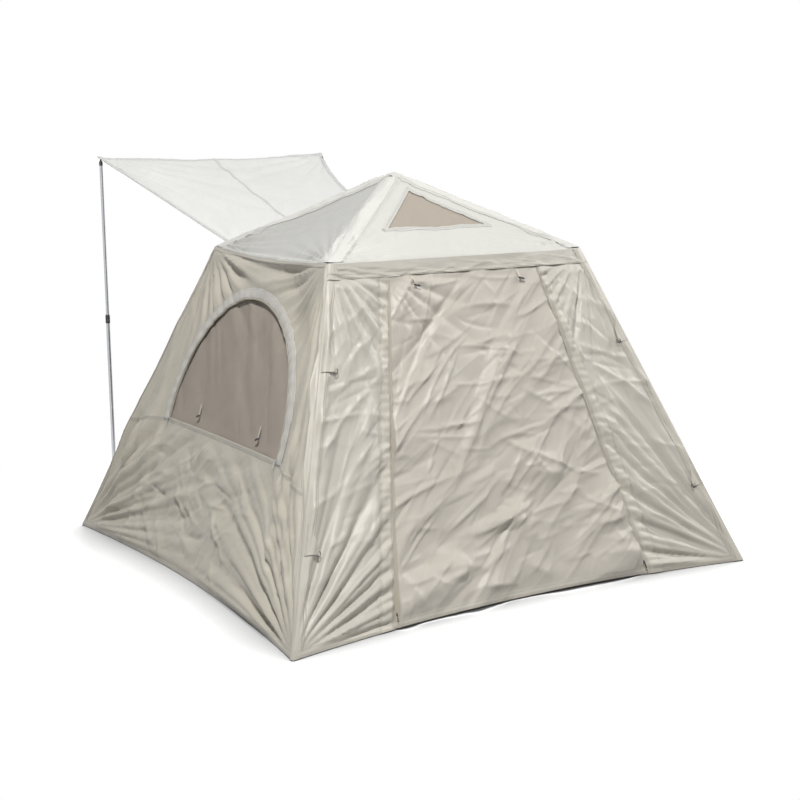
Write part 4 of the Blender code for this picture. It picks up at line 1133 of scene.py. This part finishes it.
def skylight():
    surface = roofSurface("front")

    def net(across, up):
        return surface(across, lerp(0.10, 0.97, up), -skylightSizes["depth"])

    mesh = layCloth("skylightNet", net, 60, 50, "skyNetting", 0.0005)
    carve(mesh, skylightCutter("skylightTrim", 0.012), "INTERSECT")
    dress(mesh, "shell", ["skylight_mesh"])
    halfWidth, halfDepth = tent["eaveWidth"] / 2.0, tent["eaveDepth"] / 2.0
    half, base = skylightSizes["half"], skylightSizes["base"]
    corners = [np.array(spot) for spot in ((-half, -base), (half, -base), (0.0, -skylightSizes["top"]))]
    for index, word in enumerate(("Base", "Right", "Left")):
        first, second = corners[index], corners[(index + 1) % 3]
        outward = np.array((second - first)[::-1]) * np.array((1.0, -1.0))
        outward = outward / np.linalg.norm(outward)

        def edge(margin):
            # along one side of the triangle, at a margin outside it
            def spot(s):
                run = lerp(-0.045, 1.045, s)
                x = lerp(first[0], second[0], run) + outward[0] * margin
                y = lerp(first[1], second[1], run) + outward[1] * margin
                gone = 1.0 - np.abs(y) / halfDepth
                return x / (halfWidth * (1.0 - gone)), gone / (1.0 - tent["peakOpening"] / halfWidth)

            return spot

        # each band lies over the one before it
        name, shape = f"skylightBand{word}", (0.0009 + 0.0004 * index, 0.0014, 0.0003)
        edges = edge(-0.002), edge(0.016)
        addStrip(name, surface, edges, (60, 5), "roofHemCloth", shape, ["frontRoofCloth"], True, slot="roof_cloth")


skylight()
print("roof made")


# front door

def doorPoint(across, up, lift=0.0):
    # the closed door panel, from its hem to its seam under the valance
    share = lerp(shareAt(tent["hemHeight"] + 0.002), seamShare - 0.0008 / tent["eaveHeight"], up)
    across = across * (doorwayShare - 0.0006 / halfSizes("front", share)[0])
    return wallPoint("front", across, share, doorFolds(across, share) + lift)


def frontDoor():
    door = layCloth("frontDoorCloth", doorPoint, 200, 205, "doorCloth")
    sew(door, ["frontValanceHem"], "front_door", replaced=["front_door_panel"], held="hung")
    edges, cloth = crosswise(0.998, 0.001, 0.022), ["frontDoorCloth"]
    addStrip("frontDoorHem", doorPoint, edges, (150, 5), "hemCloth", "doorHem", cloth, body="front_door", held="hung")
    for hand, word in ((-1.0, "Left"), (1.0, "Right")):
        edges = upwards(0.991, *sorted((hand * 0.9985, hand * 0.978)))
        addStrip(f"frontDoorZip{word}", doorPoint, edges, (180, 4), "zipTape", "doorZip", cloth, True,
                 body="front_door", slot="webbing")


frontDoor()
print("door made")


# awning

awning = {
    "length": 1.365,
    "tilt": math.radians(18.8),
    "topHalf": 0.430,
    "hemHalf": 0.660,
    "sag": 0.030,
    "clear": 0.056,
    "droop": 0.058,
}
awningRun = np.array((0.0, math.cos(awning["tilt"]), math.sin(awning["tilt"])))
awningUp = np.array((0.0, -math.sin(awning["tilt"]), math.cos(awning["tilt"])))


def awningTop():
    # the middle of its seam, just outside the back valance
    across = awning["topHalf"] / halfSizes("back", seamShare)[0]
    share = seamShare - tent["thickness"] / tent["eaveHeight"]
    spot = wallPoint("back", np.array([across]), np.array([share]), 0.0008 + tent["thickness"] + 0.0003)[0]
    return np.array((0.0, spot[1], spot[2]))


awningStart = awningTop()
# height, corner, folds, reach, seed and where the folds are full
awningFans = (
    (0.0120, (-awning["hemHalf"], awning["length"]), 26.0, 1.00, 131.0, 0.30),
    (0.0120, (awning["hemHalf"], awning["length"]), 22.0, 0.60, 137.0, 0.16),
    (0.0080, (-awning["topHalf"], 0.0), 22.0, 0.60, 139.0, 0.30),
    (0.0080, (awning["topHalf"], 0.0), 22.0, 0.60, 141.0, 0.30),
)


def awningFolds(across, along):
    # taut from the hinge to both tips, slack between them; the right edge droops below its tip
    x = across * lerp(awning["topHalf"], awning["hemHalf"], along)
    y = along * awning["length"]
    within = np.clip(along, 0.0, 1.0)
    bow = 1.0 - across * across
    sag = awning["sag"] * bow * along + 0.010 * bow * np.sin(math.pi * within)
    slack = (1.0 - np.exp(-(1.0 - within) / 0.10)) * (1.0 - np.exp(-within / 0.25))
    droop = awning["droop"] * (np.clip(across - 0.30, 0.0, 0.7) / 0.7) ** 1.5 * slack
    folds = 0.0 * x
    for height, *shape in awningFans:
        folds = folds + height * fan(x, y, *shape)
    folds += 0.0040 * stretched(x, y, 74.0, 0.60, 0.12, 143)
    folds += 0.0030 * crumple(x, y, 66.0, 0.34, 0.150, 0.014, 145.0)
    folds += 0.0025 * ridge(stretched(x, y, 58.0, 0.45, 0.12, 146))
    fade = edgeFade(across, -1.03, 1.03, 0.10) * edgeFade(along, 0.0, 1.04, 0.06)
    height = folds * fade - sag - droop
    # beside the doorway the cloth stays clear of the back wall when it hangs closed
    doorEdge = doorwayShare * lerp(halfSizes("back", 1.0)[0], halfSizes("back", 0.0)[0], along)
    inside = np.clip((doorEdge - np.abs(x)) / 0.05, 0.0, 1.0)
    clear = 0.0060 * np.clip(y / 0.03, 0.0, 1.0) - awning["clear"] * y
    return np.maximum(height, clear - 0.0004 - 0.5 * inside)


def awningPoint(across, along, lift=0.0):
    half = lerp(awning["topHalf"], awning["hemHalf"], along)
    flat = column(across * half) * np.array((1.0, 0.0, 0.0)) + awningRun * column(along * awning["length"])
    return awningStart + flat + awningUp * column(awningFolds(across, along) + lift)


def raisedAwning():
    cloth = layCloth("awningCloth", awningPoint, 130, 110, "awningCloth")
    poles = ["awning_pole_upper_left", "awning_pole_upper_right"]
    sew(cloth, poles, "awning", "roof_cloth", ["back_door_awning"])
    for name, edges in {
        "awningHemOuter": crosswise(0.998, 0.981, 0.9985),
        "awningHemLeft": upwards(1.0, -0.999, -0.960),
        "awningHemRight": upwards(1.0, 0.960, 0.999),
        "awningSeam": upwards(1.0, -0.012, 0.012),
        "awningTopRoll": crosswise(1.0, 0.0, 0.016),
    }.items():
        addStrip(name, awningPoint, edges, (130, 5), "awningHemCloth", "awningHem", ["awningCloth"], True,
                 body="awning", slot="roof_cloth")


raisedAwning()
print("awning made")


# floor cloth

def groundPoint(across, up):
    deep = 2.0 * up - 1.0
    x = across * (tent["baseWidth"] / 2.0 - tent["sidePull"] * (1.0 - deep * deep) - 0.001)
    y = deep * (tent["baseDepth"] / 2.0 - tent["frontPull"] * (1.0 - across * across) - 0.001)
    waves = 0.0010 + 0.0012 * latticeNoise(x / 0.21, y / 0.17, 151.0)
    waves = waves + creases(x, y, 30, (-1.0, 1.0, -1.0, 1.0), 0.0, 60.0, 0.20, 0.030, 0.0030, 153)
    fade = edgeFade(across, -1.0, 1.0, 0.06) * edgeFade(deep, -1.0, 1.0, 0.06)
    return np.stack((x, y, 0.0022 + np.maximum(0.0, waves) * fade), axis=1)


ground = layCloth("groundCloth", groundPoint, 110, 110, "floorCloth", 0.0016)
sew(ground, [], "shell", "floor_cloth", ["groundsheet"], "laid", False)


# turned pieces, hardware and poles

def verticesOf(node):
    return np.array([vertex.co for vertex in bpy.data.objects[node].data.vertices])


def barOf(node):
    # a bar's lower and upper end on its axis, from the frame's own piece
    spots = verticesOf(node)
    way = np.linalg.svd(spots - spots.mean(axis=0), full_matrices=False)[2][0]
    way = way * np.sign(way[2])
    aside = np.cross(way, (1.0, 0.0, 0.0))
    aside = aside / np.linalg.norm(aside)
    other = np.cross(way, aside)
    middle = sum(axis * ((spots @ axis).min() + (spots @ axis).max()) for axis in (aside, other)) / 2.0
    return [Vector(middle + way * end) for end in ((spots @ way).min(), (spots @ way).max())]


def turned(name, stations, material, corners=28):
    # a disc extruded from station to station: (height, radius) pairs
    start, radius = stations[0]
    piece = newPiece(name, bpy.ops.mesh.primitive_circle_add, vertices=corners, radius=radius, fill_type="NGON")
    editFaces(piece)
    height = start
    for nextHeight, nextRadius in stations[1:]:
        bpy.ops.mesh.extrude_region_move(TRANSFORM_OT_translate={"value": (0.0, 0.0, nextHeight - height)})
        bpy.ops.transform.resize(value=(nextRadius / radius, nextRadius / radius, 1.0))
        height, radius = nextHeight, nextRadius
    bpy.ops.object.mode_set(mode="OBJECT")
    turnOver(piece)
    piece.data.transform(Matrix.Translation((0.0, 0.0, start)))
    return finishPiece(piece, material, 40.0)


def standAt(piece, start, end):
    # puts a turned piece's height along the line from start to end
    way = (Vector(end) - Vector(start)).normalized()
    turn = way.to_track_quat("Z", "Y").to_matrix().to_4x4()
    piece.data.transform(Matrix.Translation(Vector(start)) @ turn)
    return piece


# the two halves of a pole; a fitting's stations count from the lower end, or down from the top if not above 0
poleHalves = {
    "lower": {
        "radius": 0.0100, "edge": 0.0007, "margins": (0.012, 0.010),
        "poleFoot": [
            (0.0002, 0.0068), (0.0012, 0.0088), (0.004, 0.0112), (0.009, 0.0116), (0.011, 0.0104), (0.013, 0.0112),
            (0.030, 0.0112), (0.034, 0.0103),
        ],
        "poleLock": [
            (-0.046, 0.0103), (-0.044, 0.0116), (-0.034, 0.0120), (-0.032, 0.0112), (-0.030, 0.0120),
            (-0.028, 0.0112), (-0.026, 0.0120), (-0.024, 0.0112), (-0.022, 0.0120), (-0.010, 0.0117),
            (-0.002, 0.0108), (0.0, 0.0096),
        ],
    },
    "upper": {
        "radius": 0.0082, "edge": 0.0006, "margins": (0.0, 0.020),
        "poleTip": [
            (-0.034, 0.0083), (-0.033, 0.0092), (-0.016, 0.0092), (-0.014, 0.0078), (-0.010, 0.0044),
            (-0.002, 0.0040), (0.0, 0.0028),
        ],
    },
}


def tentPole(half, word):
    shape = poleHalves[half]
    node, body = f"awning_pole_{half}_{word.lower()}", f"{half}_pole_{word.lower()}"
    low, high = barOf(node)
    length = (high - low).length
    radius, edge = shape["radius"], shape["edge"]
    start, end = shape["margins"][0], length - shape["margins"][1]
    stations = [(start, radius - edge), (start + edge, radius), (end, radius), (end + edge, radius - edge)]
    tube = turned(f"{half}Tube{word}", stations, "tubeMetal")
    dress(standAt(tube, low, high), body, [node])
    for name in ("poleFoot", "poleLock", "poleTip"):
        if name in shape:
            stations = [(height if height > 0.0 else length + height, wide) for height, wide in shape[name]]
            fitting = turned(name + word, stations, "darkPlastic")
            dress(standAt(fitting, low, high), body)


for word in ("Left", "Right"):
    for half in ("lower", "upper"):
        tentPole(half, word)


def bevelledBlock(name, size, bevel):
    # a block with rounded edges, centred on the origin
    piece = newPiece(name, bpy.ops.mesh.primitive_cube_add, size=1.0)
    editFaces(piece)
    bpy.ops.transform.resize(value=size)
    bpy.ops.mesh.bevel(offset=bevel, segments=2, affect="EDGES")
    bpy.ops.object.mode_set(mode="OBJECT")
    piece.data.materials.append(finishes["zipMetal"])
    return piece


slider = {
    "body": (0.0100, 0.0130, 0.0042),
    "taper": (0.55, 1.0, 0.8),
    "bridgeInset": 0.0022,
    "bridgeHeight": 0.0016,
    "bridge": (0.7, 0.8, 1.0),
    "pull": (0.0064, 0.0230, 0.0012),
    "pullInset": 0.0012,
    "pullDepth": 0.0003,
    "hang": (0.0, -0.0165, 0.0034),
}


def sliderTemplate():
    # a tapered slider body with its bridge, and the pull that hangs from it
    body = bevelledBlock("sliderBody", slider["body"], 0.0009)
    editFaces(body, lambda polygon: polygon.normal.y > 0.9)
    bpy.ops.transform.resize(value=slider["taper"])
    bpy.ops.object.mode_set(mode="OBJECT")
    editFaces(body, lambda polygon: polygon.normal.z > 0.9)
    bpy.ops.mesh.inset(thickness=slider["bridgeInset"], depth=0.0)
    bpy.ops.mesh.extrude_region_move(TRANSFORM_OT_translate={"value": (0.0, 0.0, slider["bridgeHeight"])})
    bpy.ops.transform.resize(value=slider["bridge"])
    bpy.ops.object.mode_set(mode="OBJECT")
    pull = bevelledBlock("sliderPull", slider["pull"], 0.0003)
    editFaces(pull, lambda polygon: polygon.normal.z > 0.9)
    bpy.ops.mesh.inset(thickness=slider["pullInset"], depth=-slider["pullDepth"])
    bpy.ops.object.mode_set(mode="OBJECT")
    pull.data.transform(Matrix.Translation(slider["hang"]))
    selectOnly(body)
    pull.select_set(True)
    bpy.ops.object.join()
    bpy.ops.object.shade_smooth_by_angle(angle=math.radians(40.0))
    return body


def copyAt(template, name, middle, upWay, outWay):
    # a copy with its own mesh, its y along upWay and its z along outWay
    piece = template.copy()
    piece.data = template.data.copy()
    piece.name = name
    bpy.context.scene.collection.objects.link(piece)
    out = Vector(outWay).normalized()
    along = Vector(upWay) - out * Vector(upWay).dot(out)
    along.normalize()
    turn = Matrix((along.cross(out), along, out)).transposed().to_4x4()
    piece.data.transform(Matrix.Translation(Vector(middle)) @ turn)
    return piece


def doorSlider(template, side, word):
    # in the place of the frame's own slider, along the doorway's edge
    node = f"{side}_zip_slider_{word}"
    out = wallNormal(side)
    across = (-1.0 if word == "left" else 1.0) * alongOut[side][0][0] * doorwayShare
    way = wallPoint(side, across, 1.0)[0] - wallPoint(side, across, 0.0)[0]
    spots = verticesOf(node)
    middle = (spots.min(axis=0) + spots.max(axis=0)) / 2.0 + out * 0.0008 + upward * 0.008
    piece = copyAt(template, f"{side}Slider{word.capitalize()}", middle, way, out)
    for slot in piece.material_slots:
        slot.material = finishes["zipDark"]
    dress(piece, f"{side}_slider_{word}", [node])


def windowSlider(template, side, hand):
    word = "Back" if hand < 0.0 else "Front"
    share = shareAt(windowSizes["sill"] + 0.012)
    across = hand * (windowSizes["halfWidth"] + 0.001) / halfSizes(side, share)[0]
    spot = spotOn(wallSurface(side), across, share, 0.0085)
    way = (0.0, -0.10 * hand, 1.0)
    dress(copyAt(template, f"{side}WindowSlider{word}", spot, way, wallNormal(side)), "shell")


template = sliderTemplate()
for side in ("front", "back"):
    for word in ("left", "right"):
        doorSlider(template, side, word)
for side in ("left", "right"):
    for hand in (-1.0, 1.0):
        windowSlider(template, side, hand)
bpy.data.objects.remove(template, do_unlink=True)


# ties, toggles, guy tabs and rings

toggleHalf = [(0.0150, 0.0020), (0.0144, 0.0032), (0.0110, 0.0040), (0.0040, 0.0040), (0.0025, 0.0028)]
toggleShape = [(-height, radius) for height, radius in toggleHalf] + toggleHalf[::-1]
tie = {"place": 0.260, "start": 0.004, "width": 0.011, "length": 0.044, "slant": 0.010, "stand": 0.0095}
# the cloth and the body that a side's ties hang on, their lift over it and the toggle's slant
tieSides = {
    "front": ("frontDoorCloth", "front_door", 0.0010, -0.25),
    "back": ("awningCloth", "awning", 0.0014, 0.0),
}


def addToggle(name, middle, way, body):
    toggle = turned(name, toggleShape, "darkPlastic", 20)
    dress(standAt(toggle, middle, middle + Vector(way)), body)


def doorTies(side, hand):
    word = "left" if hand < 0.0 else "right"
    cloth, body, above, slant = tieSides[side]

    def spot(x, s, lift):
        down = tie["start"] + tie["length"] * s
        if side == "front":
            up = 1.0 - down / tent["eaveHeight"]
            half = halfSizes("front", lerp(0.0, seamShare, up))[0] * doorwayShare
            return doorPoint(x / half, up, lift + above)
        along = down / awning["length"]
        return awningPoint(x / lerp(awning["topHalf"], awning["hemHalf"], along), along, lift + above)

    def strap(across, up):
        s = 1.0 - up
        x = hand * tie["place"] + tie["slant"] * s + across * tie["width"] / 2.0
        return spot(x, s, tie["stand"] * s ** 1.6)

    piece = layCloth(f"{side}Tie{word.capitalize()}", strap, 5, 22, "webbing", 0.0012, flip=True)
    sew(piece, [cloth], body, "webbing", [f"{side}_door_tie_{word}"], "hung")
    out = wallNormal("front") if side == "front" else awningUp
    middle = Vector(spotOn(spot, hand * tie["place"] + tie["slant"], 1.0, tie["stand"]) + out * 0.0034)
    addToggle(f"{side}Toggle{word.capitalize()}", middle, (1.0, 0.0, slant), body)


for side in ("front", "back"):
    for hand in (-1.0, 1.0):
        doorTies(side, hand)


guyTab = {"heights": {"Low": 0.330, "High": 0.945}, "width": 0.062, "rise": 0.110, "ring": 0.0100, "wire": 0.0015}


def ringTemplate():
    # a D-shaped ring: a torus with its upper side drawn flat
    ring = newPiece("guyRing", bpy.ops.mesh.primitive_torus_add, major_radius=guyTab["ring"],
                    minor_radius=guyTab["wire"], major_segments=32, minor_segments=10)
    editFaces(ring, lambda polygon: polygon.center.y > guyTab["ring"] * 0.35)
    bpy.ops.transform.resize(value=(1.12, 0.45, 1.0))
    bpy.ops.object.mode_set(mode="OBJECT")
    ring.data.materials.append(finishes["darkPlastic"])
    bpy.ops.object.shade_smooth()
    return ring


def addGuyTab(template, side, hand, tier):
    surface = wallSurface(side)
    height = guyTab["heights"][tier]

    def tab(across, up):
        # its long edge lies along the leg seam, and it narrows to the ring
        t = (across + 1.0) / 2.0
        edge = lerp(shareAt(height), shareAt(height + guyTab["rise"]), t)
        tip = lerp(shareAt(height - 0.006), shareAt(height + 0.008), t)
        share = lerp(edge, tip, up)
        place = hand * (1.0 - (0.006 + guyTab["width"] * up) / halfSizes(side, share)[0])
        return surface(place, share, 0.0036 + 0.0065 * up + 0.0012 * np.sin(9.0 * up) * (1.0 - up))

    word = wordOf(side, hand)
    piece = layCloth(f"{side}GuyTab{word}{tier}", tab, 18, 14, "hemCloth", 0.0012, flip=True)
    sew(piece, [f"{side}Wall{word}Cloth"], held="hung")
    spot = spotOn(tab, 0.0, 0.97) + wallNormal(side) * 0.0006 - upward * 0.0075
    ring = copyAt(template, f"{side}GuyRing{word}{tier}", spot, upward, wallNormal(side))
    dress(ring, "shell")


template = ringTemplate()
for side in ("front", "back"):
    for hand in (-1.0, 1.0):
        for tier in guyTab["heights"]:
            addGuyTab(template, side, hand, tier)
bpy.data.objects.remove(template, do_unlink=True)


windowTies = {"places": {"Back": -0.260, "Front": 0.306}, "top": 0.690, "bottom": 0.640, "width": 0.0106}


def windowTie(side, word):
    # a strap and toggle that hold the rolled cover, outside the netting
    surface = wallSurface(side)
    place = windowTies["places"][word] * (1.0 if side == "left" else -1.0)

    def strap(across, up):
        share = shareAt(lerp(windowTies["bottom"], windowTies["top"], up))
        x = place + across * windowTies["width"] / 2.0 + 0.010 * (1.0 - up)
        return surface(x / halfSizes(side, share)[0], share, 0.0012 + 0.0070 * (1.0 - up))

    piece = layCloth(f"{side}Window{word}Tie", strap, 4, 20, "webbing", 0.0010, flip=True)
    sew(piece, [f"windowNet{side.capitalize()}"], slot="webbing", held="hung")
    end = Vector(spotOn(strap, 0.0, 0.0) + wallNormal(side) * 0.0036)
    addToggle(f"{side}Window{word}Toggle", end, (0.0, 1.0, -0.4), "shell")


for side in ("left", "right"):
    for word in windowTies["places"]:
        windowTie(side, word)
print("poles, zips, ties and tabs made")


# the frame's own pieces keep their shape and get their materials

frameLooks = {
    "tubeMetal": ("roof_arm", "leg_upper", "leg_lower"),
    "darkPlastic": ("hub_body", "elbow_bracket", "foot"),
    "zipMetal": ("snap_button",),
}
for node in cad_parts.values():
    for look, starts in frameLooks.items():
        if node.name.startswith(starts):
            node.data.materials.clear()
            node.data.materials.append(finishes[look])


# floor, lamps and camera

studio = {
    "floorSize": 60.0,
    "floorColour": 0.48,
    "shadowReach": (1.85, 2.6),
    # reach and depth of the painted contact shadow under the hems
    "contactReach": 0.34,
    "contactDepth": 1.7,
    "world": 0.17,
    "glow": 0.30,
}
lamps = {
    "keyLamp": {"place": (-2.9, -4.0, 7.4), "target": (0.0, 0.0, 0.6), "size": 0.7, "power": 700.0, "glossy": True},
    "fillLamp": {"place": (6.4, -2.6, 5.0), "target": (0.0, 0.0, 0.7), "size": 0.7, "power": 230.0, "glossy": True},
    "rearLamp": {"place": (3.0, 6.2, 5.0), "target": (0.0, 0.0, 0.7), "size": 1.4, "power": 110.0, "glossy": False},
}
white = (1.0, 1.0, 1.0, 1.0)


def emptyTree(owner):
    owner.use_nodes = True
    owner.node_tree.nodes.clear()
    return owner.node_tree


def seenDirectly(tree):
    # 1 for what the camera sees, also in a reflection or through the netting
    rays = addNode(tree, "ShaderNodeLightPath").outputs
    seen = calculate(tree, "MAXIMUM", rays["Is Camera Ray"], rays["Is Glossy Ray"])
    return calculate(tree, "MAXIMUM", seen, rays["Is Transmission Ray"])


def mixShaders(tree, share, first, second):
    return addNode(tree, "ShaderNodeMixShader", {0: share, 1: first, 2: second}).outputs["Shader"]


def addFloor():
    floor = newPiece("studioFloor", bpy.ops.mesh.primitive_plane_add, size=studio["floorSize"],
                     location=(0.0, 0.0, -0.0005))
    material = bpy.data.materials.new("studioFloor")
    tree = emptyTree(material)
    grey = (studio["floorColour"],) * 3 + (1.0,)
    plain = addNode(tree, "ShaderNodeBsdfDiffuse", {"Color": grey}).outputs["BSDF"]
    # painted contact shadow: ambient occlusion darkens the floor's colour and glow where the hems meet it
    contactShadow = addNode(tree, "ShaderNodeAmbientOcclusion", {"Distance": studio["contactReach"]}, samples=16)
    contactShadow = addNode(tree, "ShaderNodeGamma", {"Color": contactShadow.outputs["Color"], "Gamma": studio["contactDepth"]})
    contactShadow = contactShadow.outputs["Color"]
    pale = addNode(tree, "ShaderNodeBsdfDiffuse", {"Color": contactShadow}).outputs["BSDF"]
    glow = addNode(tree, "ShaderNodeEmission", {"Color": contactShadow, "Strength": studio["glow"]}).outputs["Emission"]
    bright = addNode(tree, "ShaderNodeAddShader", {0: pale, 1: glow}).outputs["Shader"]
    # far from the tent the floor is plain white, so that no horizon shows
    place = addNode(tree, "ShaderNodeTexCoord").outputs["Object"]
    distance = addNode(tree, "ShaderNodeVectorMath", {0: place}, operation="LENGTH").outputs["Value"]
    far = mapRange(tree, distance, *studio["shadowReach"], interpolation_type="SMOOTHSTEP")
    plainWhite = addNode(tree, "ShaderNodeEmission", {"Color": white, "Strength": 1.0}).outputs["Emission"]
    shown = mixShaders(tree, far, bright, plainWhite)
    addNode(tree, "ShaderNodeOutputMaterial", {"Surface": mixShaders(tree, seenDirectly(tree), plain, shown)})
    floor.data.materials.append(material)


def addWorld():
    world = bpy.data.worlds.new("studioWorld")
    bpy.context.scene.world = world
    tree = emptyTree(world)
    light, shown = (
        addNode(tree, "ShaderNodeBackground", {"Color": white, "Strength": strength}).outputs["Background"]
        for strength in (studio["world"], 1.0)
    )
    addNode(tree, "ShaderNodeOutputWorld", {"Surface": mixShaders(tree, seenDirectly(tree), light, shown)})


def addLamp(name, place, target, size, power, glossy):
    lamp = bpy.data.lights.new(name, "AREA")
    lamp.size = size
    lamp.energy = power
    made = bpy.data.objects.new(name, lamp)
    bpy.context.scene.collection.objects.link(made)
    made.location = place
    made.visible_glossy = glossy
    made.rotation_mode = "QUATERNION"
    made.rotation_quaternion = (Vector(place) - Vector(target)).to_track_quat("Z", "Y")


def placeCamera():
    azimuth = math.radians(cameraSetup["azimuth"])
    elevation = math.radians(cameraSetup["elevation"])
    back = Vector((
        math.sin(azimuth) * math.cos(elevation), -math.cos(azimuth) * math.cos(elevation), math.sin(elevation),
    ))
    data = bpy.data.cameras.new("photoCamera")
    data.sensor_width = cameraSetup["sensor"]
    data.lens = cameraSetup["focalShare"] * cameraSetup["sensor"]
    camera = bpy.data.objects.new("photoCamera", data)
    bpy.context.scene.collection.objects.link(camera)
    camera.location = Vector(cameraSetup["target"]) + back * cameraSetup["distance"]
    camera.rotation_mode = "QUATERNION"
    upright = (-back).to_track_quat("-Z", "Y")
    camera.rotation_quaternion = upright @ Quaternion((0.0, 0.0, 1.0), math.radians(cameraSetup["roll"]))
    bpy.context.scene.camera = camera


addFloor()
addWorld()
for name, values in lamps.items():
    addLamp(name, **values)
placeCamera()
bpy.context.scene.view_settings.view_transform = "Standard"
print("studio made")
